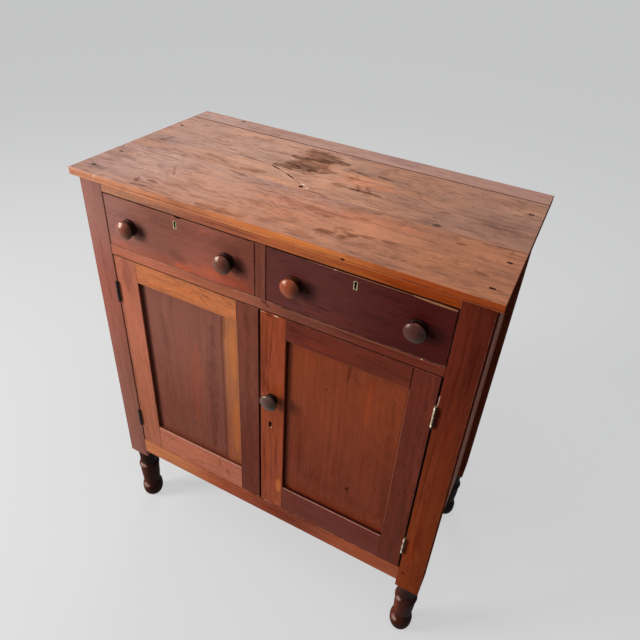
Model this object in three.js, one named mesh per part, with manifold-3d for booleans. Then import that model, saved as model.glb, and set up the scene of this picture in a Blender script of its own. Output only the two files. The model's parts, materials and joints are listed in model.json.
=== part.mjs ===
// Country cupboard: two drawers over two panelled doors, on four posts with turned feet.
// Millimetres, +Z up, front towards -Y, origin on the floor under the middle of the outline.
// Every piece is worked out in case coordinates: x from the middle, y back from the front
// faces of the posts, z up from the floor.

import * as THREE from 'three';
import { mergeVertices } from 'three/addons/utils/BufferGeometryUtils.js';
import Module from 'manifold-3d';

// Case, from the floor up
const caseWidth = 1020;
const caseDepth = 510;
const postWidth = 67;
const footHeight = 243;
const postDrop = 26.5;
const bottomRailHeight = 57;
const doorOpeningHeight = 704;
const middleRailHeight = 28.5;
const drawerOpeningHeight = 145.5;
const topRailHeight = 30;
const topThickness = 19.5;

// Top boards
const topSideOverhang = 13;
const topFrontOverhang = 16;
const topBackOverhang = 8;
const topFrontBoardWidth = 207;
const topBackStripWidth = 66;

// Fits
const seatGap = 0.3;
const cutOverrun = 6;

// Front rails and the divider between the drawers
const bladeDepth = 60;
const bladeTenonFront = 14;
const bladeTenonThickness = 22;
const bottomRailThickness = 24;
const bottomRailTenonThickness = 10;
const railTenonLength = 32;
const railTenonShoulder = 5;
const dividerWidth = 28;
const dividerOffset = 3.5;
const dividerTenonWidth = 12;
const dividerTenonLength = 10;

// Turned feet
const footBaseRadius = 24;
const footBulbRadius = 33.2;
const footBulbWidest = 42;
const footBulbHeight = 72;
const footAnkleRadius = 26.8;
const footDrumRadius = 30.8;
const footDrumTop = 152;
const footRingRadius = 33;
const footRingHeight = 16;
const footNeckRadius = 28.6;
const footNeckHeight = 34;
const footShoulderRadius = 32.4;
const footStem = 12;

// Side boards, back boards, floor and shelf
const sideSetback = 15;
const sideBoardThickness = 17;
const sideBoardTongue = 10;
const backThickness = 12;
const backRabbetWidth = 18;
const backBoardNames = ['lower_back_board', 'middle_back_board', 'upper_back_board'];
const floorThickness = 18;
const floorLip = 8;
const floorHousing = 8;
const shelfThickness = 18;
const shelfClearHeight = 360;
const shelfFront = 45;
const shelfHousing = 6;

// Drawer runners and the stop behind the doors
const runnerThickness = 25;
const runnerLedge = 28;
const runnerGuideHeight = 25;
const runnerTenonLength = 10;
const runnerTenonShoulder = 6;
const stopLength = 120;
const stopDepth = 14;
const stopThickness = 12;
const stopGap = 0.6;

// Drawers
const drawerBackGap = 30;
const drawerFrontThickness = 22;
const drawerSideGap = 1.5;
const drawerTopGap = 3;
const drawerFrontLift = 1;
const drawerSideInset = 0.5;
const drawerSideThickness = 12;
const drawerSideTopDrop = 2.5;
const drawerBackThickness = 12;
const drawerBackHousing = 4;
const drawerBackTopDrop = 6;
const drawerBottomThickness = 7;
const drawerBottomHeight = 11;
const drawerBottomGroove = 5;
const tailCount = 3;
const tailLength = 13;
const tailWide = 28;
const tailNarrow = 21;

// Drawer locks with their brass keyhole linings
const drawerLockWidth = 54;
const drawerLockHeight = 38;
const drawerLockThickness = 10;
const liningRadius = 5;
const liningDrop = 16;
const liningFootWidth = 8.6;
const liningInset = 16;
const liningProud = 0.4;
const keyholeRadius = 2.8;
const keyholeSlotWidth = 2.6;
const keyholeDrop = 11.5;

// Knobs
const knobSpacing = 282;
const knobTenonRadius = 8.5;
const knobTenonLength = 20;
const knobBaseRadius = 21.5;
const knobBaseThickness = 5;
const knobNeckRadius = 12.5;
const knobNeckReach = 11;
const knobHeadRadius = 24.3;
const knobHeadBack = 17;
const knobRimReach = 23;
const knobReach = 31;
const doorKnobBaseRadius = 15;

// Doors
const doorThickness = 23;
const doorSideGap = 3;
const meetingGap = 4.5;
const doorTopGap = 2.5;
const doorBottomGap = 2;
const leftStileWidth = 70;
const rightStileWidth = 62.5;
const doorTopRailHeight = 62;
const doorBottomRailHeight = 96.5;
const panelRecess = 10;
const panelThickness = 8;
const panelTongue = 8;
const panelExpansion = 1;
const doorTenonLength = 40;
const doorTenonShoulder = 12;

// Hinges
const hingeLength = 64;
const hingeTopInset = 115;
const hingeBottomInset = 107;
const leafThickness = 2;
const leafWidth = 20;
const leafGap = 0.4;
const knuckleRadius = 3.6;
const knuckleCount = 5;
const knuckleGap = 0.3;
const hingePinRadius = 1.6;
const hingePinGap = 0.1;

// Door knob, door lock and the turn button inside the left door
const doorKnobHeight = 762;
const doorLockCentre = 668;
const doorLockWidth = 56;
const doorLockHeight = 76;
const doorLockThickness = 13;
const doorLockEdge = 3;
const boltLength = 34;
const boltHeight = 16;
const boltThickness = 5;
const buttonLength = 56;
const buttonWidth = 18;
const buttonThickness = 9;
const buttonStandoff = 1.6;
const buttonPinRadius = 2.5;
const buttonPinLength = 12;
const buttonTipGap = 3.5;

// Number of facets round each turned or drilled shape
const footFacets = 20;
const knobFacets = 20;
const curveSteps = 4;
const holeFacets = 16;

// Heights and widths that follow from the sizes above
const hingeBoreRadius = (hingePinRadius + hingePinGap) / Math.cos(Math.PI / holeFacets);
const halfCase = caseWidth / 2;
const halfPost = postWidth / 2;
const postInner = halfCase - postWidth;
const backPostFront = caseDepth - postWidth;
const railBottom = footHeight + postDrop;
const doorOpeningBottom = railBottom + bottomRailHeight;
const doorOpeningTop = doorOpeningBottom + doorOpeningHeight;
const drawerOpeningBottom = doorOpeningTop + middleRailHeight;
const drawerOpeningTop = drawerOpeningBottom + drawerOpeningHeight;
const caseTop = drawerOpeningTop + topRailHeight;
const backBoardFront = caseDepth - backThickness;
const sideBoardOuter = halfCase - sideSetback;
const sideBoardInner = sideBoardOuter - sideBoardThickness;
const dividerLeft = dividerOffset - dividerWidth / 2;
const dividerRight = dividerOffset + dividerWidth / 2;
const floorTop = doorOpeningBottom - floorLip;
const floorBottom = floorTop - floorThickness;
const shelfBottom = floorTop + shelfClearHeight;
const shelfTop = shelfBottom + shelfThickness;
const drawerLength = backBoardFront - drawerBackGap;
const outlineShift = (knobReach - caseDepth - topBackOverhang) / 2;

// Solids
const wasm = await Module();
wasm.setup();

function solidFrom(geometry) {
  const bare = geometry.clone();
  bare.deleteAttribute('normal');
  bare.deleteAttribute('uv');
  const merged = mergeVertices(bare);
  const corners = merged.index.array;
  const kept = [];
  for (let i = 0; i < corners.length; i += 3) {
    const [a, b, c] = corners.slice(i, i + 3);
    if (a !== b && b !== c && c !== a) {
      kept.push(a, b, c);
    }
  }
  return new wasm.Manifold(new wasm.Mesh({
    numProp: 3,
    vertProperties: new Float32Array(merged.attributes.position.array),
    triVerts: new Uint32Array(kept),
  }));
}

function geometryFrom(solid) {
  const mesh = solid.getMesh();
  const geometry = new THREE.BufferGeometry();
  geometry.setAttribute('position', new THREE.BufferAttribute(new Float32Array(mesh.vertProperties), 3));
  geometry.setIndex(new THREE.BufferAttribute(new Uint32Array(mesh.triVerts), 1));
  geometry.computeVertexNormals();
  return geometry;
}

// A block between pairs of limits, given in either order
function block(x, y, z) {
  const pairs = [x, y, z];
  const size = pairs.map(([a, b]) => Math.abs(b - a));
  const middle = pairs.map(([a, b]) => (a + b) / 2);
  return solidFrom(new THREE.BoxGeometry(...size)).translate(middle);
}

// The same block with a seat gap all round, to cut the pocket that it sits in
function pocket(x, y, z) {
  const grow = ([a, b]) => [Math.min(a, b) - seatGap, Math.max(a, b) + seatGap];
  return block(grow(x), grow(y), grow(z));
}

// An outline drawn across x and z, as thick as depth, with its front face at y
function plateAcross(shape, y, depth) {
  const geometry = new THREE.ExtrudeGeometry(shape, { depth, bevelEnabled: false, curveSegments: curveSteps * 2 });
  geometry.rotateX(Math.PI / 2);
  return solidFrom(geometry).translate([0, y + depth, 0]);
}

// An outline drawn across y and z, running along x between two limits
function plateAlong(shape, x) {
  const [low, high] = [Math.min(...x), Math.max(...x)];
  const geometry = new THREE.ExtrudeGeometry(shape, { depth: high - low, bevelEnabled: false });
  const turn = new THREE.Matrix4().makeBasis(
    new THREE.Vector3(0, 1, 0), new THREE.Vector3(0, 0, 1), new THREE.Vector3(1, 0, 0));
  geometry.applyMatrix4(turn);
  return solidFrom(geometry).translate([low, 0, 0]);
}

// A round bar along z or y, centred on a point across it
function upright(radius, x, y, z, facets = holeFacets) {
  const geometry = new THREE.CylinderGeometry(radius, radius, Math.abs(z[1] - z[0]), facets);
  geometry.rotateX(Math.PI / 2);
  return solidFrom(geometry).translate([x, y, (z[0] + z[1]) / 2]);
}

function crossways(radius, x, z, y, facets = holeFacets) {
  const geometry = new THREE.CylinderGeometry(radius, radius, Math.abs(y[1] - y[0]), facets);
  return solidFrom(geometry).translate([x, (y[0] + y[1]) / 2, z]);
}

// Scene graph
const cupboard = new THREE.Group();
cupboard.position.y = outlineShift;
const carcase = new THREE.Group();
cupboard.add(carcase);

function finish(color, roughness, metalness = 0) {
  return new THREE.MeshStandardMaterial({ color, roughness, metalness });
}

// Add a solid, worked out in case coordinates, as a mesh placed at its own anchor point
function addPiece(parent, name, solid, anchor, material) {
  const mesh = new THREE.Mesh(geometryFrom(solid.translate(anchor.map((value) => -value))), material);
  mesh.name = name;
  mesh.position.set(...anchor).sub(parent.position);
  parent.add(mesh);
}

// Tenons, as limits that the tenon and its mortise share
function frontRailTenon(side, railZ, frontY, thickness) {
  return [
    [side * (postInner - seatGap - cutOverrun), side * (postInner + railTenonLength)],
    [frontY, frontY + thickness],
    [railZ[0] + railTenonShoulder, railZ[1] - railTenonShoulder],
  ];
}

const topRailZ = [drawerOpeningTop, caseTop];
const middleRailZ = [doorOpeningTop, drawerOpeningBottom];
const bottomRailZ = [railBottom, doorOpeningBottom];
const bottomTenonFront = (bottomRailThickness - bottomRailTenonThickness) / 2;

function frontRailTenons(side) {
  return [
    frontRailTenon(side, topRailZ, bladeTenonFront, bladeTenonThickness),
    frontRailTenon(side, middleRailZ, bladeTenonFront, bladeTenonThickness),
    frontRailTenon(side, bottomRailZ, bottomTenonFront, bottomRailTenonThickness),
  ];
}

// Hinge places
const hingeHeights = {
  upper: doorOpeningTop - hingeTopInset,
  lower: doorOpeningBottom + hingeBottomInset,
};
const hingeAxisX = postInner - doorSideGap / 2;
const hingeAxisY = -knuckleRadius - seatGap;
const leafLetIn = leafThickness - (doorSideGap - leafGap) / 2;

// The leaf let into the post or into the door's edge, as limits
function leafLimits(side, onPost, height) {
  const inward = onPost ? 1 : -1;
  const face = postInner - (onPost ? 0 : doorSideGap);
  const sunk = face + inward * leafLetIn;
  return [
    [side * sunk, side * (sunk - inward * leafThickness)],
    [0, leafWidth],
    [height - hingeLength / 2, height + hingeLength / 2],
  ];
}

function leafPocket(side, onPost, height) {
  const [x, y, z] = leafLimits(side, onPost, height);
  return pocket(x, [y[0] - cutOverrun, y[1]], z);
}

// Turned foot, as half a profile spun about the middle of the post
function turnedFoot() {
  const profile = new THREE.Path();
  profile.moveTo(0, 0);
  profile.lineTo(footBaseRadius, 0);
  profile.quadraticCurveTo(footBulbRadius, 0, footBulbRadius, footBulbWidest);
  profile.quadraticCurveTo(footBulbRadius, footBulbHeight, footAnkleRadius, footBulbHeight);
  profile.lineTo(footDrumRadius, footDrumTop);
  const ringMiddle = footDrumTop + footRingHeight / 2;
  const ringTop = footDrumTop + footRingHeight;
  profile.quadraticCurveTo(footRingRadius, footDrumTop, footRingRadius, ringMiddle);
  profile.quadraticCurveTo(footRingRadius, ringTop, footNeckRadius, ringTop);
  profile.lineTo(footNeckRadius, ringTop + footNeckHeight);
  profile.quadraticCurveTo(footNeckRadius, footHeight, footShoulderRadius, footHeight);
  profile.lineTo(footShoulderRadius, footHeight + footStem);
  profile.lineTo(0, footHeight + footStem);
  const geometry = new THREE.LatheGeometry(profile.getPoints(curveSteps), footFacets);
  geometry.rotateX(Math.PI / 2);
  return solidFrom(geometry);
}

// Corner posts
function addPost(name, side, atBack, color) {
  const middleX = side * (halfCase - halfPost);
  const middleY = atBack ? caseDepth - halfPost : halfPost;
  const frontFace = middleY - halfPost;
  const backFace = middleY + halfPost;
  const x = [side * postInner, side * halfCase];
  let post = block(x, [frontFace, backFace], [footHeight, caseTop]);
  post = post.add(turnedFoot().translate([middleX, middleY, 0]));

  // Groove for the side board
  const grooveY = atBack
    ? [frontFace - cutOverrun, frontFace + sideBoardTongue]
    : [backFace - sideBoardTongue, backFace + cutOverrun];
  post = post.subtract(pocket(
    [side * sideBoardInner, side * sideBoardOuter], grooveY, [railBottom, caseTop + cutOverrun]));

  // Notch for the corner of the shelf
  const notchY = atBack
    ? [frontFace - cutOverrun, backBoardFront]
    : [shelfFront, backFace + cutOverrun];
  post = post.subtract(pocket(
    [side * (postInner - cutOverrun), side * (postInner + shelfHousing - seatGap)],
    notchY, [shelfBottom, shelfTop]));

  if (atBack) {
    // Rabbet for the back boards
    post = post.subtract(pocket(
      [side * (postInner - cutOverrun), side * (postInner + backRabbetWidth)],
      [backBoardFront, caseDepth + cutOverrun], [railBottom, caseTop + cutOverrun]));
  } else {
    for (const tenon of frontRailTenons(side)) {
      post = post.subtract(pocket(...tenon));
    }
    for (const height of Object.values(hingeHeights)) {
      post = post.subtract(leafPocket(side, true, height));
    }
  }
  addPiece(carcase, name, post, [middleX, middleY, 0], finish(color, 0.35));
}

addPost('front_left_post', -1, false, 0x8a5243);
addPost('front_right_post', 1, false, 0x7a3320);
addPost('back_left_post', -1, true, 0x74402f);
addPost('back_right_post', 1, true, 0x4a2a22);

// Front rails, with a tenon at each end
function frontRail(railZ, depth, frontY, thickness) {
  const reach = postInner - seatGap;
  let rail = block([-reach, reach], [0, depth], railZ);
  for (const side of [-1, 1]) {
    rail = rail.add(block(...frontRailTenon(side, railZ, frontY, thickness)));
  }
  return rail;
}

// The divider's tenons, into the rail above and the rail below
const dividerTenonX = [dividerOffset - dividerTenonWidth / 2, dividerOffset + dividerTenonWidth / 2];
const dividerTenonY = [bladeTenonFront, bladeTenonFront + bladeTenonThickness];
const dividerTenonZ = [drawerOpeningBottom - dividerTenonLength, drawerOpeningTop + dividerTenonLength];

// The front tenon of each runner, into the back of the middle rail
const runnerTenonY = [bladeDepth - runnerTenonLength, bladeDepth + cutOverrun];
const runnerZ = [drawerOpeningBottom - runnerThickness, drawerOpeningBottom];
const runnerTenonZ = [runnerZ[0] + runnerTenonShoulder, runnerZ[1] - runnerTenonShoulder];

function runnerTenonX(side) {
  if (side === 0) {
    return [dividerLeft, dividerRight];
  }
  return [side * (postInner - runnerLedge + runnerTenonShoulder), side * (postInner - runnerTenonShoulder)];
}

function addFrontRails() {
  const topRail = frontRail(topRailZ, bladeDepth, bladeTenonFront, bladeTenonThickness)
    .subtract(pocket(dividerTenonX, dividerTenonY, dividerTenonZ));
  addPiece(carcase, 'top_rail', topRail, [0, 0, drawerOpeningTop], finish(0x9a4a2c, 0.35));

  let middleRail = frontRail(middleRailZ, bladeDepth, bladeTenonFront, bladeTenonThickness)
    .subtract(pocket(dividerTenonX, dividerTenonY, dividerTenonZ));
  for (const side of [-1, 0, 1]) {
    middleRail = middleRail.subtract(pocket(runnerTenonX(side), runnerTenonY, runnerTenonZ));
  }
  addPiece(carcase, 'middle_rail', middleRail, [0, 0, doorOpeningTop], finish(0x8e5240, 0.35));

  // The floor board sits in a groove along the back of the bottom rail
  const grooveY = [bottomRailThickness - floorHousing, bottomRailThickness + cutOverrun];
  const bottomRail = frontRail(bottomRailZ, bottomRailThickness, bottomTenonFront, bottomRailTenonThickness)
    .subtract(pocket([-postInner, postInner], grooveY, [floorBottom, floorTop]));
  addPiece(carcase, 'bottom_rail', bottomRail, [0, 0, railBottom], finish(0xa85a34, 0.35));

  const divider = block([dividerLeft, dividerRight], [0, bladeDepth],
    [drawerOpeningBottom + seatGap, drawerOpeningTop - seatGap])
    .add(block(dividerTenonX, dividerTenonY, dividerTenonZ));
  addPiece(carcase, 'drawer_divider', divider, [dividerOffset, 0, drawerOpeningBottom], finish(0x6f3a2e, 0.35));
}
addFrontRails();

// Side boards, let into the posts and housed for the floor and the shelf
function addSideBoard(name, side) {
  const y = [postWidth - sideBoardTongue, backPostFront + sideBoardTongue];
  const inside = side * (sideBoardInner - cutOverrun);
  const board = block([side * sideBoardInner, side * sideBoardOuter], y, [railBottom, caseTop])
    .subtract(pocket([inside, side * (sideBoardInner + floorHousing - seatGap)],
      [postWidth, backPostFront], [floorBottom, floorTop]))
    .subtract(pocket([inside, side * (sideBoardInner + shelfHousing - seatGap)],
      [postWidth, backPostFront], [shelfBottom, shelfTop]));
  addPiece(carcase, name, board, [side * sideBoardInner, postWidth, railBottom], finish(0x5b3328, 0.4));
}
addSideBoard('left_side_board', -1);
addSideBoard('right_side_board', 1);

// Back boards, laid across in the rabbets of the back posts
function addBackBoards() {
  const reach = postInner + backRabbetWidth - seatGap;
  const pitch = (caseTop - railBottom) / backBoardNames.length;
  backBoardNames.forEach((name, row) => {
    const low = railBottom + row * pitch;
    const board = block([-reach, reach], [backBoardFront, caseDepth], [low, low + pitch - seatGap]);
    addPiece(carcase, name, board, [0, backBoardFront, low], finish(0x6d5140, 0.8));
  });
}
addBackBoards();

// Floor and shelf: wide between the posts, narrower where they pass them
function addFloorAndShelf() {
  const betweenPosts = [postWidth + seatGap, backPostFront - seatGap];
  const back = backBoardFront - seatGap;

  const floorReach = sideBoardInner + floorHousing - seatGap;
  const floorNarrow = postInner - seatGap;
  const floorFront = bottomRailThickness - floorHousing + seatGap;
  const floor = block([-floorReach, floorReach], betweenPosts, [floorBottom, floorTop])
    .add(block([-floorNarrow, floorNarrow], [floorFront, back], [floorBottom, floorTop]));
  addPiece(carcase, 'floor_board', floor, [0, bottomRailThickness, floorBottom], finish(0x8a6a4e, 0.7));

  const shelfReach = sideBoardInner + shelfHousing - seatGap;
  const shelfNarrow = postInner + shelfHousing - seatGap;
  const shelf = block([-shelfReach, shelfReach], betweenPosts, [shelfBottom, shelfTop])
    .add(block([-shelfNarrow, shelfNarrow], [shelfFront, back], [shelfBottom, shelfTop]));
  addPiece(carcase, 'shelf', shelf, [0, shelfFront, shelfBottom], finish(0x8a6a4e, 0.7));
}
addFloorAndShelf();

// Drawer runners, each a ledge with a guide strip standing on it
function addRunners() {
  const y = [bladeDepth + seatGap, backBoardFront - seatGap];
  const guideZ = [drawerOpeningBottom - runnerThickness, drawerOpeningBottom + runnerGuideHeight];
  const behindPosts = [postWidth + seatGap, backPostFront - seatGap];
  const names = { '-1': 'left_runner', 1: 'right_runner' };
  for (const side of [-1, 1]) {
    const ledge = block([side * (postInner - runnerLedge), side * (postInner - seatGap)], y, runnerZ);
    const web = block([side * (postInner - runnerLedge), side * (sideBoardInner - seatGap)], behindPosts, runnerZ);
    const guide = block([side * postInner, side * (sideBoardInner - seatGap)], behindPosts, guideZ);
    const tenon = block(runnerTenonX(side), runnerTenonY, runnerTenonZ);
    addPiece(carcase, names[side], ledge.add(web).add(guide).add(tenon),
      [side * postInner, bladeDepth, runnerZ[0]], finish(0x8a6a4e, 0.7));
  }
  const centre = block([dividerLeft - runnerLedge, dividerRight + runnerLedge], y, runnerZ)
    .add(block([dividerLeft, dividerRight], y, guideZ))
    .add(block(runnerTenonX(0), runnerTenonY, runnerTenonZ));
  addPiece(carcase, 'center_runner', centre, [dividerOffset, bladeDepth, runnerZ[0]], finish(0x8a6a4e, 0.7));
}
addRunners();

// Stop under the middle rail, behind the meeting stiles
function addDoorStop() {
  const y = [doorThickness + stopGap, doorThickness + stopGap + stopDepth];
  const z = [doorOpeningTop - seatGap - stopThickness, doorOpeningTop - seatGap];
  const stop = block([-stopLength / 2, stopLength / 2], y, z);
  addPiece(carcase, 'door_stop', stop, [0, doorThickness, z[0]], finish(0x6b4030, 0.6));
}
addDoorStop();

// Top boards
function addTop() {
  const reach = halfCase + topSideOverhang;
  const z = [caseTop + seatGap, caseTop + seatGap + topThickness];
  const front = -topFrontOverhang;
  const back = caseDepth + topBackOverhang;
  const firstJoint = front + topFrontBoardWidth;
  const secondJoint = back - topBackStripWidth;
  const boards = {
    top_front_board: [front, firstJoint],
    top_middle_board: [firstJoint + seatGap, secondJoint],
    top_back_strip: [secondJoint + seatGap, back],
  };
  for (const [name, y] of Object.entries(boards)) {
    addPiece(carcase, name, block([-reach, reach], y, z), [0, y[0], z[0]], finish(0xb58068, 0.3));
  }
}
addTop();

// Knob, as half a profile spun about its own axis and turned to face the front
function knobSolid(baseRadius) {
  const profile = new THREE.Path();
  profile.moveTo(0, -knobTenonLength);
  profile.lineTo(knobTenonRadius, -knobTenonLength);
  profile.lineTo(knobTenonRadius, seatGap);
  profile.lineTo(baseRadius, seatGap);
  profile.quadraticCurveTo(baseRadius, knobBaseThickness, knobNeckRadius, knobBaseThickness);
  profile.lineTo(knobNeckRadius, knobNeckReach);
  profile.quadraticCurveTo(knobNeckRadius, knobHeadBack, knobHeadRadius, knobHeadBack);
  profile.quadraticCurveTo(knobHeadRadius, knobRimReach, knobNeckRadius + knobNeckReach, knobRimReach);
  profile.quadraticCurveTo(knobNeckRadius, knobReach, 0, knobReach);
  const geometry = new THREE.LatheGeometry(profile.getPoints(curveSteps), knobFacets);
  geometry.rotateX(Math.PI);
  return solidFrom(geometry);
}

function knobHole(x, z, thickness) {
  return crossways(knobTenonRadius + seatGap, x, z, [-cutOverrun, thickness + cutOverrun], knobFacets);
}

// Keyhole outline: a round eye with a skirt that reaches down
function keyholeShape(eyeRadius, drop, footWidth, x, z) {
  const shape = new THREE.Shape();
  const half = footWidth / 2;
  const meet = Math.asin(Math.min(1, half / eyeRadius));
  shape.absarc(x, z, eyeRadius, meet - Math.PI / 2, Math.PI * 3 / 2 - meet, false);
  shape.lineTo(x - half, z - drop);
  shape.lineTo(x + half, z - drop);
  return shape;
}

// Drawers
function addDrawer(prefix, x0, x1) {
  const drawer = new THREE.Group();
  drawer.position.set((x0 + x1) / 2, 0, drawerOpeningBottom);
  cupboard.add(drawer);
  const middle = (x0 + x1) / 2;
  const frontX = [x0 + drawerSideGap, x1 - drawerSideGap];
  const frontZ = [drawerOpeningBottom + drawerFrontLift, drawerOpeningTop - drawerTopGap];
  const sideZ = [drawerOpeningBottom + seatGap, frontZ[1] - drawerSideTopDrop];
  const bottomZ0 = sideZ[0] + drawerBottomHeight;
  const bottomZ = [bottomZ0, bottomZ0 + drawerBottomThickness];
  const innerLeft = frontX[0] + drawerSideInset + drawerSideThickness;
  const innerRight = frontX[1] - drawerSideInset - drawerSideThickness;
  const backY = [drawerLength - drawerBackThickness, drawerLength];
  const sideWood = 0x9c8264;

  // Dovetail tails: wide at the tip, narrow at the root, evenly spaced up the side
  function tails(x, grow) {
    const pitch = (sideZ[1] - sideZ[0]) / tailCount;
    const tip = drawerFrontThickness - tailLength - grow;
    const root = drawerFrontThickness + cutOverrun;
    const solids = [];
    for (let i = 0; i < tailCount; i += 1) {
      const centre = sideZ[0] + (i + 0.5) * pitch;
      const shape = new THREE.Shape();
      shape.moveTo(root, centre - tailNarrow / 2 - grow);
      shape.lineTo(root, centre + tailNarrow / 2 + grow);
      shape.lineTo(tip, centre + tailWide / 2 + grow);
      shape.lineTo(tip, centre - tailWide / 2 - grow);
      solids.push(plateAlong(shape, x));
    }
    return solids.reduce((a, b) => a.add(b));
  }

  // Front, with sockets, the groove for the bottom, and holes for the knobs and the keyhole lining
  const liningZ = frontZ[1] - liningInset;
  const lining = keyholeShape(liningRadius, liningDrop, liningFootWidth, middle, liningZ);
  const hole = keyholeShape(liningRadius + seatGap, liningDrop + seatGap,
    liningFootWidth + seatGap * 2, middle, liningZ);
  let front = block(frontX, [0, drawerFrontThickness], frontZ)
    .subtract(tails([frontX[0] - cutOverrun, innerLeft + seatGap], seatGap))
    .subtract(tails([innerRight - seatGap, frontX[1] + cutOverrun], seatGap))
    .subtract(pocket([innerLeft - drawerBottomGroove, innerRight + drawerBottomGroove],
      [drawerFrontThickness - drawerBottomGroove, drawerFrontThickness + cutOverrun], bottomZ))
    .subtract(plateAcross(hole, -cutOverrun, drawerFrontThickness + cutOverrun * 2));
  const knobZ = (frontZ[0] + frontZ[1]) / 2;
  const knobX = { left: middle - knobSpacing / 2, right: middle + knobSpacing / 2 };
  for (const x of Object.values(knobX)) {
    front = front.subtract(knobHole(x, knobZ, drawerFrontThickness));
  }
  const frontWood = prefix === 'left_drawer' ? 0x96483a : 0x5c2a26;
  addPiece(drawer, `${prefix}_front`, front, [middle, 0, frontZ[0]], finish(frontWood, 0.3));

  // Sides, grooved for the bottom and housed for the back
  const sides = {
    left: [frontX[0] + drawerSideInset, innerLeft],
    right: [innerRight, frontX[1] - drawerSideInset],
  };
  for (const [side, x] of Object.entries(sides)) {
    const inward = side === 'left' ? 1 : -1;
    const innerFace = side === 'left' ? innerLeft : innerRight;
    const open = innerFace + inward * cutOverrun;
    const board = block(x, [drawerFrontThickness + seatGap, drawerLength], sideZ)
      .add(tails(x, 0))
      .subtract(pocket([innerFace - inward * drawerBottomGroove, open], [0, drawerLength + cutOverrun], bottomZ))
      .subtract(pocket([innerFace - inward * drawerBackHousing, open],
        backY, [bottomZ[1], sideZ[1] + cutOverrun]));
    addPiece(drawer, `${prefix}_${side}_side`, board, [x[0], drawerFrontThickness, sideZ[0]],
      finish(sideWood, 0.7));
  }

  const back = block([innerLeft - drawerBackHousing, innerRight + drawerBackHousing], backY,
    [bottomZ[1] + seatGap, sideZ[1] - drawerBackTopDrop]);
  addPiece(drawer, `${prefix}_back`, back, [middle, backY[0], bottomZ[1]], finish(sideWood, 0.7));

  const bottom = block([innerLeft - drawerBottomGroove, innerRight + drawerBottomGroove],
    [drawerFrontThickness - drawerBottomGroove, drawerLength], bottomZ);
  addPiece(drawer, `${prefix}_bottom`, bottom, [middle, drawerFrontThickness, bottomZ[0]],
    finish(sideWood, 0.75));

  for (const [side, x] of Object.entries(knobX)) {
    const anchor = [x, 0, knobZ];
    const knob = knobSolid(knobBaseRadius).translate(anchor);
    addPiece(drawer, `${prefix}_${side}_knob`, knob, anchor, finish(0x6b3c30, 0.25));
  }

  // Lock: a case on the back of the front, and a lining that runs through to the keyhole
  const lockY = drawerFrontThickness + seatGap;
  const keyhole = keyholeShape(keyholeRadius, keyholeDrop, keyholeSlotWidth, middle, liningZ);
  const lockZ = [frontZ[1] - drawerTopGap - drawerLockHeight, frontZ[1] - drawerTopGap];
  const lock = block([middle - drawerLockWidth / 2, middle + drawerLockWidth / 2],
    [lockY, lockY + drawerLockThickness], lockZ)
    .add(plateAcross(lining, -liningProud, lockY + liningProud + drawerLockThickness / 2))
    .subtract(plateAcross(keyhole, -cutOverrun, cutOverrun + lockY + drawerLockThickness / 2));
  addPiece(drawer, `${prefix}_lock`, lock, [middle, 0, liningZ], finish(0xa8823c, 0.4, 1));
}
addDrawer('left_drawer', -postInner, dividerLeft);
addDrawer('right_drawer', dividerRight, postInner);

// Doors
const doorZ = [doorOpeningBottom + doorBottomGap, doorOpeningTop - doorTopGap];
const panelY = [panelRecess, panelRecess + panelThickness];
const grooveDepth = panelTongue + panelExpansion;

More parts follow.
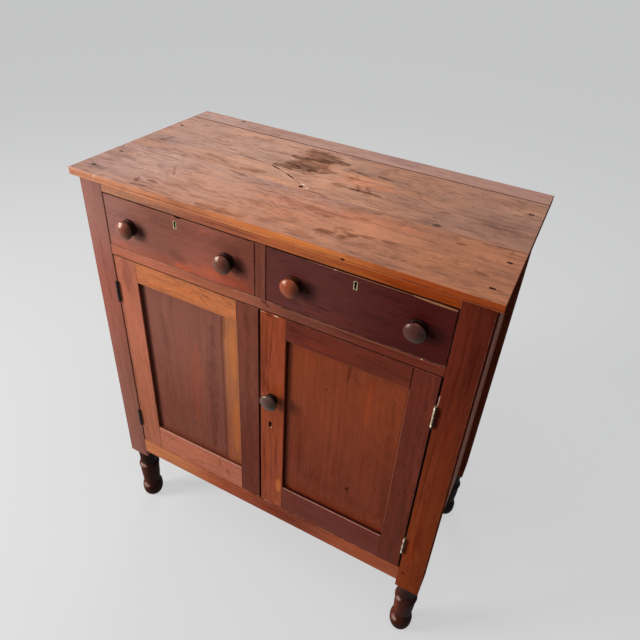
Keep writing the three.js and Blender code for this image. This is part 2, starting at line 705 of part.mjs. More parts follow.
function addDoor(prefix, side, colors) {
  const door = new THREE.Group();
  door.position.set(side * hingeAxisX, hingeAxisY, 0);
  cupboard.add(door);
  const outer = postInner - doorSideGap;
  const inner = meetingGap / 2;
  const x = side < 0 ? [-outer, -inner] : [inner, outer];
  const openX = [x[0] + leftStileWidth, x[1] - rightStileWidth];
  const openZ = [doorZ[0] + doorBottomRailHeight, doorZ[1] - doorTopRailHeight];
  const y = [0, doorThickness];

  // Rails with their tenons, and the same tenons as mortises in the stiles
  const railsZ = { bottom_rail: [doorZ[0], openZ[0]], top_rail: [openZ[1], doorZ[1]] };
  const tenonX = [openX[0] - doorTenonLength, openX[1] + doorTenonLength];
  const tenonZ = (railZ) => [railZ[0] + doorTenonShoulder, railZ[1] - doorTenonShoulder];
  const groove = pocket([openX[0] - grooveDepth, openX[1] + grooveDepth], panelY,
    [openZ[0] - grooveDepth, openZ[1] + grooveDepth]);

  const buttonHole = crossways(buttonPinRadius + seatGap, buttonX, buttonZ,
    [doorThickness - buttonPinLength - seatGap, doorThickness + cutOverrun]);

  for (const [kind, railZ] of Object.entries(railsZ)) {
    const rail = block([openX[0] + seatGap, openX[1] - seatGap], y, railZ)
      .subtract(groove)
      .add(block(tenonX, panelY, tenonZ(railZ)))
      .subtract(buttonHole);
    addPiece(door, `${prefix}_${kind}`, rail, [openX[0], 0, railZ[0]], finish(colors[kind], 0.32));
  }

  const stiles = side < 0
    ? { hinge_stile: [x[0], openX[0]], meeting_stile: [openX[1], x[1]] }
    : { meeting_stile: [x[0], openX[0]], hinge_stile: [openX[1], x[1]] };
  for (const [kind, stileX] of Object.entries(stiles)) {
    let stile = block(stileX, y, doorZ).subtract(groove);
    for (const railZ of Object.values(railsZ)) {
      stile = stile.subtract(pocket(tenonX, panelY, tenonZ(railZ)));
    }
    if (kind === 'hinge_stile') {
      for (const height of Object.values(hingeHeights)) {
        stile = stile.subtract(leafPocket(side, false, height));
      }
    } else if (side > 0) {
      const lockEye = keyholeShape(keyholeRadius + seatGap, keyholeDrop, keyholeSlotWidth + seatGap * 2,
        doorLockMiddle, doorLockCentre);
      stile = stile.subtract(knobHole(doorKnobX, doorKnobHeight, doorThickness))
        .subtract(plateAcross(lockEye, -cutOverrun, doorThickness + cutOverrun * 2));
    } else {
      stile = stile.subtract(buttonHole);
    }
    addPiece(door, `${prefix}_${kind}`, stile, [stileX[0], 0, doorZ[0]], finish(colors[kind], 0.32));
  }

  const panel = block([openX[0] - panelTongue, openX[1] + panelTongue], panelY,
    [openZ[0] - panelTongue, openZ[1] + panelTongue]);
  addPiece(door, `${prefix}_panel`, panel, [openX[0], panelY[0], openZ[0]], finish(colors.panel, 0.32));
  return door;
}

const doorKnobX = (meetingGap + leftStileWidth) / 2;
const doorLockMiddle = (meetingGap + leftStileWidth) / 2 - doorLockEdge * 2;
const buttonX = -(meetingGap + rightStileWidth) / 2;
const buttonZ = doorOpeningBottom - floorLip + buttonTipGap + buttonLength / 2;

const leftDoor = addDoor('left_door', -1, {
  hinge_stile: 0x9a5a42, meeting_stile: 0x6e3d33, top_rail: 0xb06a44, bottom_rail: 0xa45a3e, panel: 0x6b3f38,
});
const rightDoor = addDoor('right_door', 1, {
  meeting_stile: 0x8e4128, hinge_stile: 0x5c2c28, top_rail: 0x5a2f28, bottom_rail: 0x5c2c28, panel: 0x7c3c22,
});

// Butt hinges: the post leaf carries the pin, the door leaf turns on it
function hingeLeaf(side, onPost, height) {
  const x = side * hingeAxisX;
  const [leafX, leafY, leafZ] = leafLimits(side, onPost, height);
  let leaf = block(leafX, leafY, leafZ);
  const pitch = hingeLength / knuckleCount;
  for (let i = 0; i < knuckleCount; i += 1) {
    if ((i % 2 === 0) !== onPost) {
      continue;
    }
    const low = leafZ[0] + i * pitch;
    const z = [low + (i > 0 ? knuckleGap / 2 : 0), low + pitch - (i < knuckleCount - 1 ? knuckleGap / 2 : 0)];
    leaf = leaf.add(upright(knuckleRadius, x, hingeAxisY, z))
      .add(block(leafX, [hingeAxisY, leafThickness], z));
  }
  if (onPost) {
    return leaf.add(upright(hingePinRadius, x, hingeAxisY, leafZ));
  }
  return leaf.subtract(upright(hingeBoreRadius, x, hingeAxisY, [leafZ[0] - cutOverrun, leafZ[1] + cutOverrun]));
}

function addHinges() {
  const doors = [['left', -1, leftDoor], ['right', 1, rightDoor]];
  for (const [word, side, door] of doors) {
    const metal = side < 0 ? [0x3a332e, 0.5, 0.6] : [0x9c8a62, 0.4, 0.9];
    for (const [row, height] of Object.entries(hingeHeights)) {
      const anchor = [side * hingeAxisX, hingeAxisY, height];
      addPiece(carcase, `${word}_${row}_hinge_post_leaf`, hingeLeaf(side, true, height), anchor, finish(...metal));
      addPiece(door, `${word}_${row}_hinge_door_leaf`, hingeLeaf(side, false, height), anchor, finish(...metal));
    }
  }
}
addHinges();

// Knob, lock and sliding bolt of the right door
function addDoorFittings() {
  const knobAnchor = [doorKnobX, 0, doorKnobHeight];
  const knob = knobSolid(doorKnobBaseRadius).translate(knobAnchor);
  addPiece(rightDoor, 'door_knob', knob, knobAnchor, finish(0x4a3a36, 0.2));

  const lockX = [meetingGap / 2 + doorLockEdge, meetingGap / 2 + doorLockEdge + doorLockWidth];
  const lockY = [doorThickness + seatGap, doorThickness + seatGap + doorLockThickness];
  const lockZ = [doorLockCentre - doorLockHeight / 2, doorLockCentre + doorLockHeight / 2];
  const boltY0 = (lockY[0] + lockY[1] - boltThickness) / 2;
  const boltX = [lockX[0] + seatGap, lockX[0] + seatGap + boltLength];
  const boltY = [boltY0, boltY0 + boltThickness];
  const boltZ = [lockZ[0] + boltHeight / 2, lockZ[0] + boltHeight * 3 / 2];
  const lock = block(lockX, lockY, lockZ)
    .subtract(pocket([lockX[0] - cutOverrun, boltX[1]], boltY, boltZ));
  addPiece(rightDoor, 'door_lock', lock, [lockX[0], lockY[0], doorLockCentre], finish(0x4a443e, 0.5, 0.8));
  addPiece(rightDoor, 'door_lock_bolt', block(boltX, boltY, boltZ), [boltX[0], boltY[0], boltZ[0]],
    finish(0x8d8676, 0.4, 0.9));

  // Turn button with its screw, on the back of the left door's meeting stile
  const bar = new THREE.Shape();
  const reach = (buttonLength - buttonWidth) / 2;
  bar.absarc(buttonX + reach, buttonZ, buttonWidth / 2, -Math.PI / 2, Math.PI / 2, false);
  bar.absarc(buttonX - reach, buttonZ, buttonWidth / 2, Math.PI / 2, Math.PI * 3 / 2, false);
  const barFront = doorThickness + buttonStandoff;
  const button = plateAcross(bar, barFront, buttonThickness)
    .add(crossways(buttonPinRadius, buttonX, buttonZ,
      [doorThickness - buttonPinLength, barFront + buttonThickness / 2]));
  addPiece(leftDoor, 'left_door_button', button, [buttonX, barFront, buttonZ], finish(0x7a5238, 0.6));
}
addDoorFittings();

export default cupboard;
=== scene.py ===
import json
import math

import bmesh
import bpy
from mathutils import Euler, Matrix, Vector


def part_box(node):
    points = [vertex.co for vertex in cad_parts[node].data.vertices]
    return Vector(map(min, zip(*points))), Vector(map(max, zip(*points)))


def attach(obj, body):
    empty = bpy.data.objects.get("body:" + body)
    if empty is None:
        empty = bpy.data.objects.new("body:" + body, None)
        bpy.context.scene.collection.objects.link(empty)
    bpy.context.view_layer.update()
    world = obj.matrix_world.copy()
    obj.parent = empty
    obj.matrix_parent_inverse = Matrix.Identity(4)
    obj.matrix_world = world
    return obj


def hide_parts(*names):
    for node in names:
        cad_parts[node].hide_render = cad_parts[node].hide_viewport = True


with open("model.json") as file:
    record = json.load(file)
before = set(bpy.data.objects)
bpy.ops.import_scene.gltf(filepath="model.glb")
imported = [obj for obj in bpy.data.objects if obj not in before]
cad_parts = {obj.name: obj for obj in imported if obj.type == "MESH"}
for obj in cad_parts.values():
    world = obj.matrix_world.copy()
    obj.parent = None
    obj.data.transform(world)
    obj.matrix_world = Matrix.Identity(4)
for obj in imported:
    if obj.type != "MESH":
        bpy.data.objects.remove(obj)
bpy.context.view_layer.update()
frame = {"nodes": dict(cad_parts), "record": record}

nodes = frame["nodes"]
bodies = frame["record"]["behaviour"]["bodies"]
bodyOf = {node: body for body, members in bodies.items() for node in members}
mm = 0.001
print("cupboard: frame loaded,", len(nodes), "nodes")

# the camera stands where the photograph was taken from
camera = {
    "place": (0.5784, -1.1288, 1.8235),
    "azimuth": -23.98,
    "elevation": -33.74,
    "roll": 4.715,
    "sensor": 36.0,
    "lens": 32.07,
    "shift": (-0.0238, -0.0622),
    "sees": 100,  # metres
}


def addCamera(look):
    azimuth, elevation, roll = (math.radians(look[k]) for k in ("azimuth", "elevation", "roll"))
    flat = math.cos(elevation)
    forward = Vector((math.sin(azimuth) * flat, math.cos(azimuth) * flat, math.sin(elevation)))
    level = Vector((math.cos(azimuth), -math.sin(azimuth), 0))
    upright = level.cross(forward)
    right = math.cos(roll) * level + math.sin(roll) * upright
    up = math.cos(roll) * upright - math.sin(roll) * level
    data = bpy.data.cameras.new("photoCamera")
    data.sensor_fit = "HORIZONTAL"
    data.sensor_width = look["sensor"]
    data.lens = look["lens"]
    data.shift_x, data.shift_y = look["shift"]
    data.clip_end = look["sees"]
    item = bpy.data.objects.new("photoCamera", data)
    turn = Matrix((right, up, -forward)).transposed().to_4x4()
    item.matrix_world = Matrix.Translation(look["place"]) @ turn
    bpy.context.scene.collection.objects.link(item)
    bpy.context.scene.camera = item


addCamera(camera)


# short forms for the shader nodes used again and again
def paint(red, green, blue):
    # a colour as a photograph gives it, 0 to 255, turned into the linear one that a socket takes
    lin = [((v / 255 + 0.055) / 1.055) ** 2.4 if v > 10.31 else v / 255 / 12.92 for v in (red, green, blue)]
    return (*lin, 1.0)


def feed(tree, value, socket):
    if isinstance(value, bpy.types.NodeSocket):
        tree.links.new(value, socket)
    elif value is not None:
        socket.default_value = value


def calc(tree, operation, a, b=None, clamp=False):
    node = tree.nodes.new("ShaderNodeMath")
    node.operation = operation
    node.use_clamp = clamp
    feed(tree, a, node.inputs[0])
    feed(tree, b, node.inputs[1])
    return node.outputs[0]


def add(tree, a, b, clamp=False):
    return calc(tree, "ADD", a, b, clamp)


def minus(tree, a, b):
    return calc(tree, "SUBTRACT", a, b)


def times(tree, a, b):
    return calc(tree, "MULTIPLY", a, b)


def vectorCalc(tree, operation, a, b=None, scale=None):
    node = tree.nodes.new("ShaderNodeVectorMath")
    node.operation = operation
    feed(tree, a, node.inputs[0])
    feed(tree, b, node.inputs[1])
    feed(tree, scale, node.inputs[3])
    return node.outputs["Value" if operation in ("LENGTH", "DOT_PRODUCT") else "Vector"]


def blend(tree, factor, a, b, mode="MIX"):
    node = tree.nodes.new("ShaderNodeMix")
    node.data_type = "RGBA"
    node.blend_type = mode
    feed(tree, factor, node.inputs[0])
    feed(tree, a, node.inputs[6])
    feed(tree, b, node.inputs[7])
    return node.outputs[2]


def tint(tree, factor, color, by):
    return blend(tree, factor, color, by, "MULTIPLY")


def ramp(tree, value, low, high, first=0.0, last=1.0):
    node = tree.nodes.new("ShaderNodeMapRange")
    node.interpolation_type = "SMOOTHSTEP"
    for item, socket in zip((value, low, high, first, last), node.inputs):
        feed(tree, item, socket)
    return node.outputs[0]


def brightness(tree, color):
    node = tree.nodes.new("ShaderNodeRGBToBW")
    feed(tree, color, node.inputs[0])
    return node.outputs[0]


def splitUp(tree, vector):
    node = tree.nodes.new("ShaderNodeSeparateXYZ")
    feed(tree, vector, node.inputs[0])
    return node.outputs


def noise(tree, vector, pitch, detail=2.0, rough=0.5):
    # pitch is one number, or one for each axis
    node = tree.nodes.new("ShaderNodeTexNoise")
    if isinstance(pitch, tuple):
        vector = vectorCalc(tree, "MULTIPLY", vector, pitch)
        pitch = 1.0
    for label, value in (("Vector", vector), ("Scale", pitch), ("Detail", detail), ("Roughness", rough)):
        feed(tree, value, node.inputs[label])
    return node.outputs[0]


def newGroup(name, inputs, outputs):
    group = bpy.data.node_groups.new(name, "ShaderNodeTree")
    for label, kind, value in inputs:
        socket = group.interface.new_socket(name=label, in_out="INPUT", socket_type="NodeSocket" + kind)
        if value is not None:
            socket.default_value = value
    for label, kind in outputs:
        group.interface.new_socket(name=label, in_out="OUTPUT", socket_type="NodeSocket" + kind)
    return group, group.nodes.new("NodeGroupInput").outputs, group.nodes.new("NodeGroupOutput").inputs


def putGroup(tree, group, **values):
    node = tree.nodes.new("ShaderNodeGroup")
    node.node_tree = group
    for label, value in values.items():
        feed(tree, value, node.inputs[label])
    return node.outputs


def newFinish(name):
    finish = bpy.data.materials.new(name)
    finish.use_nodes = True
    tree = finish.node_tree
    spot = tree.nodes.new("ShaderNodeTexCoord").outputs["Object"]
    return finish, tree, tree.nodes["Principled BSDF"].inputs, spot


def addBump(tree, shader, height, strength, distance):
    bump = tree.nodes.new("ShaderNodeBump")
    bump.inputs["Strength"].default_value = strength
    bump.inputs["Distance"].default_value = distance * mm
    feed(tree, height, bump.inputs["Height"])
    feed(tree, bump.outputs[0], shader["Normal"])


# a big soft window on the left, a weaker one behind it on the left, and a pale room
studio = {
    "room": (0.96, 0.98, 1.0),
    "roomLight": 0.17,
    "roomSeen": 0.86,
    "floor": (0.42, 0.42, 0.415),
    "floorSize": 40,
    "floorRough": 0.8,
    "floorShine": 0.1,
    "floorSeen": (0.86, 0.865, 0.87),
    "floorLift": 0.6,
    "lamps": {
        "windowLamp": {
            "place": (-3.0, -2.35, 1.75), "aim": (0.0, -0.2, 0.75), "size": (1.1, 1.6), "watts": 195,
            "tint": (1.0, 0.985, 0.96),
        },
        "backLamp": {
            "place": (-1.7, 2.3, 2.9), "aim": (0.0, 0.0, 1.2), "size": (1.8, 1.4), "watts": 36,
            "tint": (0.97, 0.985, 1.0),
        },
        "ceilingLamp": {
            "place": (0.2, -0.8, 3.8), "aim": (0.0, 0.0, 1.0), "size": (2.2, 2.2), "watts": 48,
            "tint": (1.0, 1.0, 1.0),
        },
    },
}


def seenNotLit(tree):
    # 1 where the camera or a reflection looks, 0 where the surface lights others
    path = tree.nodes.new("ShaderNodeLightPath")
    seen = path.outputs["Is Camera Ray"]
    for ray in ("Is Glossy Ray", "Is Transmission Ray"):
        seen = add(tree, seen, path.outputs[ray], clamp=True)
    return seen


def addRoom(look):
    world = bpy.data.worlds.new("paleRoom")
    bpy.context.scene.world = world
    world.use_nodes = True
    tree = world.node_tree
    tree.nodes.clear()
    room = tree.nodes.new("ShaderNodeBackground")
    room.inputs["Color"].default_value = (*look["room"], 1)
    level = times(tree, seenNotLit(tree), look["roomSeen"] - look["roomLight"])
    feed(tree, add(tree, level, look["roomLight"]), room.inputs["Strength"])
    out = tree.nodes.new("ShaderNodeOutputWorld")
    tree.links.new(room.outputs[0], out.inputs[0])


def addLamp(name, look):
    data = bpy.data.lights.new(name, "AREA")
    data.shape = "RECTANGLE"
    data.size, data.size_y = look["size"]
    data.energy = look["watts"]
    data.color = look["tint"]
    item = bpy.data.objects.new(name, data)
    item.location = look["place"]
    item.rotation_euler = (Vector(look["aim"]) - Vector(look["place"])).to_track_quat("-Z", "Y").to_euler()
    bpy.context.scene.collection.objects.link(item)


def addFloor(look):
    mesh = bpy.data.meshes.new("studioFloor")
    build = bmesh.new()
    bmesh.ops.create_grid(build, x_segments=1, y_segments=1, size=look["floorSize"])
    build.to_mesh(mesh)
    build.free()
    floor = bpy.data.objects.new("studioFloor", mesh)
    bpy.context.scene.collection.objects.link(floor)
    finish = bpy.data.materials.new("paleFloor")
    finish.use_nodes = True
    tree = finish.node_tree
    shader = tree.nodes["Principled BSDF"]
    shader.inputs["Base Color"].default_value = (*look["floor"], 1)
    shader.inputs["Roughness"].default_value = look["floorRough"]
    shader.inputs["Specular IOR Level"].default_value = look["floorShine"]
    glow = tree.nodes.new("ShaderNodeEmission")
    glow.inputs["Color"].default_value = (*look["floorSeen"], 1)
    mix = tree.nodes.new("ShaderNodeMixShader")
    feed(tree, times(tree, seenNotLit(tree), look["floorLift"]), mix.inputs[0])
    tree.links.new(shader.outputs[0], mix.inputs[1])
    tree.links.new(glow.outputs[0], mix.inputs[2])
    tree.links.new(mix.outputs[0], tree.nodes["Material Output"].inputs[0])
    mesh.materials.append(finish)


bpy.context.scene.view_settings.view_transform = "Standard"
addRoom(studio)
for name, look in studio["lamps"].items():
    addLamp(name, look)
addFloor(studio)

grainLook = {
    # the pitch of each layer of the wood, along the grain and across it, in waves per metre
    "drift": (1.7, 4.0), "ripple": (30.0, 12.0), "streak": (3.6, 80.0), "hair": (13.0, 430.0),
    "cloud": (7.0, 24.0), "broad": (2.6, 8.0), "blot": (8.0, 34.0), "fleck": (26.0, 190.0),
    "patch": (5.0, 16.0), "pore": (55.0, 1300.0),
    # the tone of the board is multiplied by a colour between the two of each pair
    "figure": [(0.42, 0.37, 0.37, 1), (1.56, 1.46, 1.26, 1)],
    "patina": [(0.72, 0.76, 0.92, 1), (1.26, 1.2, 1.02, 1)],
    # and by these, where smoke has blotted it and where a ring ends
    "smoke": (0.5, 0.5, 0.56, 1),
    "lateWood": (0.5, 0.42, 0.4, 1),
    # and this one is painted into the pores
    "poreColor": (0.02, 0.008, 0.005, 1),
}


def makeWoodGrain(look):
    # the vector that comes in runs along the grain in X, and the heart of the tree is its X axis
    group, given, out = newGroup("woodGrain", [
        ("Vector", "Vector", None), ("Tone", "Color", None), ("Contrast", "Float", 0.6),
        ("Rings", "Float", 220.0), ("Curl", "Float", 0.3), ("Patina", "Float", 0.5), ("Smoke", "Float", 0.4),
    ], [("Color", "Color"), ("Height", "Float"), ("Gloss", "Float")])

    def layer(vector, name, detail=2.0, rough=0.5):
        pitch, across = look[name]
        return noise(group, vector, (pitch, across, across), detail, rough)

    drift = times(group, minus(group, layer(given["Vector"], "drift"), 0.5), 0.06)
    ripple = minus(group, layer(given["Vector"], "ripple", 3.0), 0.5)
    ripple = times(group, ripple, times(group, given["Curl"], 0.02))
    sway = add(group, drift, ripple)
    shift = group.nodes.new("ShaderNodeCombineXYZ")
    feed(group, sway, shift.inputs[1])
    feed(group, sway, shift.inputs[2])
    grain = vectorCalc(group, "ADD", given["Vector"], shift.outputs[0])

    # the rings of the tree, then finer and finer streaks along them
    away = vectorCalc(group, "LENGTH", vectorCalc(group, "MULTIPLY", grain, (0.0, 1.0, 1.0)))
    rings = group.nodes.new("ShaderNodeTexNoise")
    rings.noise_dimensions = "1D"
    feed(group, times(group, away, given["Rings"]), rings.inputs["W"])
    rings.inputs["Scale"].default_value = 1.0
    rings.inputs["Detail"].default_value = 2.0
    ring = rings.outputs[0]
    streak = layer(grain, "streak", 3.0, 0.6)
    hair = layer(grain, "hair", 2.0, 0.6)
    cloud = layer(grain, "cloud", 4.0, 0.6)
    figure = minus(group, ring, 0.5)
    for part, share in ((cloud, times(group, given["Patina"], 1.2)), (streak, 0.9), (hair, 0.6)):
        figure = add(group, figure, times(group, minus(group, part, 0.5), share))
    figure = add(group, times(group, figure, given["Contrast"]), 0.5, clamp=True)
    wood = tint(group, 1.0, given["Tone"], blend(group, figure, *look["figure"]))

    broad = layer(grain, "broad", 3.0, 0.55)
    patina = add(group, times(group, minus(group, broad, 0.5), given["Patina"]), 0.5, clamp=True)
    wood = tint(group, 1.0, wood, blend(group, patina, *look["patina"]))

    blot = times(group, ramp(group, layer(grain, "blot", 5.0, 0.62), 0.50, 0.68), 0.7)
    fleck = ramp(group, layer(grain, "fleck", 3.0, 0.6), 0.50, 0.64)
    patch = ramp(group, layer(grain, "patch", 3.0, 0.6), 0.40, 0.58, 0.15, 1.0)
    blot = add(group, blot, times(group, fleck, patch), clamp=True)
    wood = blend(group, times(group, blot, given["Smoke"]), wood, tint(group, 1.0, wood, look["smoke"]))

    late = times(group, ramp(group, ring, 0.62, 0.72), times(group, given["Contrast"], 0.5))
    wood = blend(group, late, wood, tint(group, 1.0, wood, look["lateWood"]))
    pore = ramp(group, layer(grain, "pore", 1.0), 0.60, 0.70)
    wood = blend(group, times(group, pore, 0.3), wood, look["poreColor"])
    feed(group, wood, out["Color"])
    height = minus(group, times(group, streak, 0.5), times(group, pore, 0.5))
    feed(group, add(group, height, times(group, hair, 0.35)), out["Height"])
    feed(group, add(group, times(group, broad, 0.5), times(group, blot, 0.5)), out["Gloss"])
    return group


def makeWornEdge():
    # how near a point is to the edges of a box, given by its middle and half size
    group, given, out = newGroup("wornEdge", [
        ("Vector", "Vector", None), ("Middle", "Vector", None), ("Half", "Vector", None),
        ("Width", "Float", 0.002), ("Reach", "Float", 0.012),
    ], [("Wear", "Float"), ("Dirt", "Float")])
    away = vectorCalc(group, "ABSOLUTE", vectorCalc(group, "SUBTRACT", given["Vector"], given["Middle"]))
    x, y, z = splitUp(group, vectorCalc(group, "SUBTRACT", given["Half"], away))
    near = calc(group, "MINIMUM", calc(group, "MAXIMUM", x, y), z)
    near = calc(group, "MAXIMUM", calc(group, "MINIMUM", x, y), near)
    rag = noise(group, given["Vector"], 38.0, 4.0, 0.7)
    width = times(group, given["Width"], ramp(group, rag, 0.36, 0.64, 0.35, 1.7))
    feed(group, ramp(group, near, width, 0.0), out["Wear"])
    ragged = add(group, near, times(group, rag, 0.004))
    feed(group, ramp(group, ragged, given["Reach"], 0.0), out["Dirt"])
    return group


def makeStroke():
    # a ragged stroke from one point to another, for stains, knots, cracks, scratches and chips, and for
    # painted shade and highlights
    group, given, out = newGroup("markStroke", [
        ("Vector", "Vector", None), ("Start", "Vector", None), ("End", "Vector", None),
        ("Width", "Float", 0.01), ("Taper", "Float", 0.5), ("Soft", "Float", 0.6), ("Rag", "Float", 0.5),
        ("Ragged", "Float", 0.5),
    ], [("Mask", "Float")])
    away = vectorCalc(group, "SUBTRACT", given["Vector"], given["Start"])
    along = vectorCalc(group, "SUBTRACT", given["End"], given["Start"])
    span = calc(group, "MAXIMUM", vectorCalc(group, "DOT_PRODUCT", along, along), 1e-9)
    part = calc(group, "DIVIDE", vectorCalc(group, "DOT_PRODUCT", away, along), span, clamp=True)
    nearest = vectorCalc(group, "SCALE", along, scale=part)
    far = vectorCalc(group, "LENGTH", vectorCalc(group, "SUBTRACT", away, nearest))
    # -1 at the start, 1 at the end, so that its square is how much the stroke narrows
    side = minus(group, times(group, part, 2.0), 1.0)
    side = calc(group, "POWER", calc(group, "ABSOLUTE", side), 2.0)
    width = times(group, given["Width"], minus(group, 1.0, times(group, side, given["Taper"])))
    rag = times(group, minus(group, given["Rag"], 0.5), times(group, given["Ragged"], 3.0))
    far = add(group, calc(group, "DIVIDE", far, width), rag)
    feed(group, ramp(group, far, 1.0, minus(group, 1.0, given["Soft"])), out["Mask"])
    return group


woodGrain = makeWoodGrain(grainLook)
wornEdge = makeWornEdge()
markStroke = makeStroke()
print("cupboard: camera, lamps, floor and shader groups")

# the cupboard's wood tones, from the palest to nearly black, shared by the boards that show; where tones
# along a board grow paler to the left, that is partly the wood's colour and partly painted light, the sheen
# and brighter window light on that side
woodTones = {
    "bleached": (170, 130, 120), "dusty": (160, 118, 102), "fawn": (160, 112, 92), "straw": (178, 120, 86),
    "honey": (168, 112, 85), "apricot": (170, 104, 68), "cherry": (172, 96, 58), "orange": (200, 120, 65),
    "clay": (158, 94, 75), "chestnut": (146, 86, 65), "cinnamon": (150, 75, 45), "ember": (142, 60, 12),
    "mauve": (132, 90, 86), "rose": (136, 80, 70), "rosewood": (120, 74, 65), "cocoa": (110, 60, 50),
    "copper": (134, 62, 36), "russet": (120, 56, 32), "sienna": (108, 45, 24), "walnut": (104, 55, 45),
    "garnet": (96, 40, 30), "plum": (88, 44, 43), "bitter": (90, 33, 15), "oxblood": (65, 15, 15),
}


def woodTone(tone):
    return paint(*(woodTones[tone] if isinstance(tone, str) else tone))


def toneStrip(tree, vector, axis, stops):
    # tones laid one after another along an axis, at places in millimetres
    if len(stops) == 1:
        return woodTone(stops[0][1])
    first, last = stops[0][0], stops[-1][0]
    node = tree.nodes.new("ShaderNodeMapRange")
    spot = splitUp(tree, vector)["xyz".index(axis)]
    for value, socket in zip((spot, first * mm, last * mm), node.inputs):
        feed(tree, value, socket)
    strip = tree.nodes.new("ShaderNodeValToRGB")
    strip.color_ramp.interpolation = "EASE"
    points = strip.color_ramp.elements
    while len(points) < len(stops):
        points.new(0.5)
    for point, (place, tone) in zip(points, stops):
        point.position = (place - first) / (last - first)
        point.color = woodTone(tone)
    feed(tree, node.outputs[0], strip.inputs[0])
    return strip.outputs[0]


# the marks of age, with painted light among them: the gap and shade kinds and the knob shadows paint shade,
# the feet's highlights are painted; those with a tint darken or warm the wood, those with a color cover it
markKinds = {
    "smoke": {"tint": (0.46, 0.45, 0.50), "soft": 1.0, "ragged": 1.3},
    "stain": {"tint": (0.42, 0.43, 0.48), "soft": 1.0, "ragged": 1.7},
    "soak": {"tint": (0.53, 0.52, 0.57), "soft": 1.0, "ragged": 0.6},
    "haze": {"tint": (0.64, 0.64, 0.69), "soft": 1.0, "ragged": 0.9},
    "dark": {"tint": (0.40, 0.30, 0.27), "soft": 1.0, "ragged": 0.6},
    # painted shadow, beside the knobs
    "grime": {"tint": (0.34, 0.26, 0.25), "soft": 1.0, "ragged": 0.15},
    "streak": {"tint": (0.48, 0.38, 0.34), "soft": 0.9, "ragged": 0.5},
    "knot": {"tint": (0.22, 0.20, 0.22), "soft": 0.9, "ragged": 0.4},
    "shade": {"tint": (0.12, 0.08, 0.08), "soft": 1.0, "ragged": 0.1, "taper": 0.0},
    # painted shade in the gaps between parts
    "gap": {"color": (12, 7, 5), "soft": 0.5, "ragged": 0.12, "taper": 0.0},
    "seam": {"color": (60, 22, 14), "soft": 0.7, "ragged": 0.25, "taper": 0.0},
    "dust": {"color": (196, 150, 136), "soft": 0.8, "ragged": 0.5, "taper": 0.1},
    "glow": {"tint": (1.34, 1.06, 0.84), "soft": 1.0, "ragged": 0.5},
    "crack": {"color": (34, 10, 4), "soft": 0.5, "ragged": 0.35, "sink": 0.6},
    # nail heads, and the painted shade of the door's keyhole
    "nail": {"color": (30, 11, 7), "soft": 0.35, "ragged": 0.25, "taper": 0.0, "sink": 0.4},
    "pale": {"color": (196, 140, 104), "soft": 0.8, "ragged": 0.5},
    "tan": {"color": (156, 106, 74), "soft": 0.4, "ragged": 0.2},
    "chip": {"color": (214, 186, 160), "soft": 0.6, "ragged": 0.8, "sink": 0.5},
    "amber": {"color": (178, 98, 40), "soft": 1.0, "ragged": 0.4},
    # painted highlights on the turned feet
    "rubbed": {"color": (206, 170, 158), "soft": 1.0, "ragged": 0.2},
    "sap": {"tint": (1.75, 1.85, 1.1), "soft": 0.45, "ragged": 0.12, "taper": 0.0},
}
markTaper = 0.6  # for the kinds that name none
ragPitch = {"x": (38.0, 140.0, 140.0), "y": (140.0, 38.0, 140.0), "z": (140.0, 140.0, 38.0)}


def addMarks(tree, spot, color, look, box):
    # a kind is followed by its strokes: two points on the face that shows, half the width in
    # millimetres and the strength
    rag = noise(tree, spot, ragPitch[look["grain"]], 6.0, 0.72)
    face = box[0].y + look["depth"] * mm
    sink = 0.0
    for kind, *strokes in look["marks"]:
        style = markKinds[kind]
        for a, b, c, d, width, strength in strokes:
            ends = [(a * mm, face, b * mm), (c * mm, face, d * mm)]
            if look["face"] == "top":
                ends = [(a * mm, b * mm, box[1].z), (c * mm, d * mm, box[1].z)]
            taper = 0.0 if (a, b) == (c, d) else style.get("taper", markTaper)
            mask = putGroup(tree, markStroke, Vector=spot, Start=ends[0], End=ends[1], Width=width * mm,
                            Taper=taper, Soft=style["soft"], Rag=rag, Ragged=style["ragged"])["Mask"]
            mask = times(tree, mask, strength)
            if "tint" in style:
                color = tint(tree, mask, color, (*style["tint"], 1))
            else:
                color = blend(tree, mask, color, paint(*style["color"]))
            if "sink" in style:
                sink = add(tree, sink, times(tree, mask, style["sink"]))
    return color, sink


# what a wooden piece has unless its own look says otherwise; sizes in millimetres
woodLook = {
    "heart": (30, 70), "rings": 220.0, "contrast": 0.5, "curl": 0.3, "patina": 0.5, "smoke": 0.3,
    "wear": 0.5, "wearWidth": 1.2, "wearColor": (190, 130, 100), "dirt": 0.3, "dirtReach": 9, "sides": 0.0,
    "rough": 0.45, "shine": 0.1, "coat": 0.0, "coatRough": 0.32, "bump": 0.3, "bumpDepth": 0.5,
    "face": "front", "depth": 0, "marks": (), "round": 1.4,
}
boardsApart = 3.7  # metres of grain from one piece of wood to the next
dirtTint = (0.55, 0.46, 0.44, 1)
# the colour that paints shade on the sides of a board, in its gaps and recesses
sideTint = (0.2, 0.14, 0.13, 1)
sheen = (1.0, 0.78, 0.62, 1)
grainTurns = {"x": (0, 0, 0), "y": (0, 0, -90), "z": (0, 90, 0)}


def camel(name):
    words = name.split("_")
    return words[0] + "".join(word.capitalize() for word in words[1:])


def grainVector(tree, spot, look, middle):
    # turns the grain along X, about a heart that lies beside the piece
    grain = look["grain"]
    heart = Vector(middle)
    for index, offset in zip([i for i in range(3) if "xyz"[i] != grain], look["heart"]):
        heart[index] += offset * mm
    heart["xyz".index(grain)] += look["seed"] * boardsApart
    rotation = Euler([math.radians(a) for a in grainTurns[grain]])
    turn = tree.nodes.new("ShaderNodeMapping")
    turn.inputs["Rotation"].default_value = rotation
    turn.inputs["Location"].default_value = -(rotation.to_matrix() @ heart)
    feed(tree, spot, turn.inputs["Vector"])
    return turn.outputs[0]


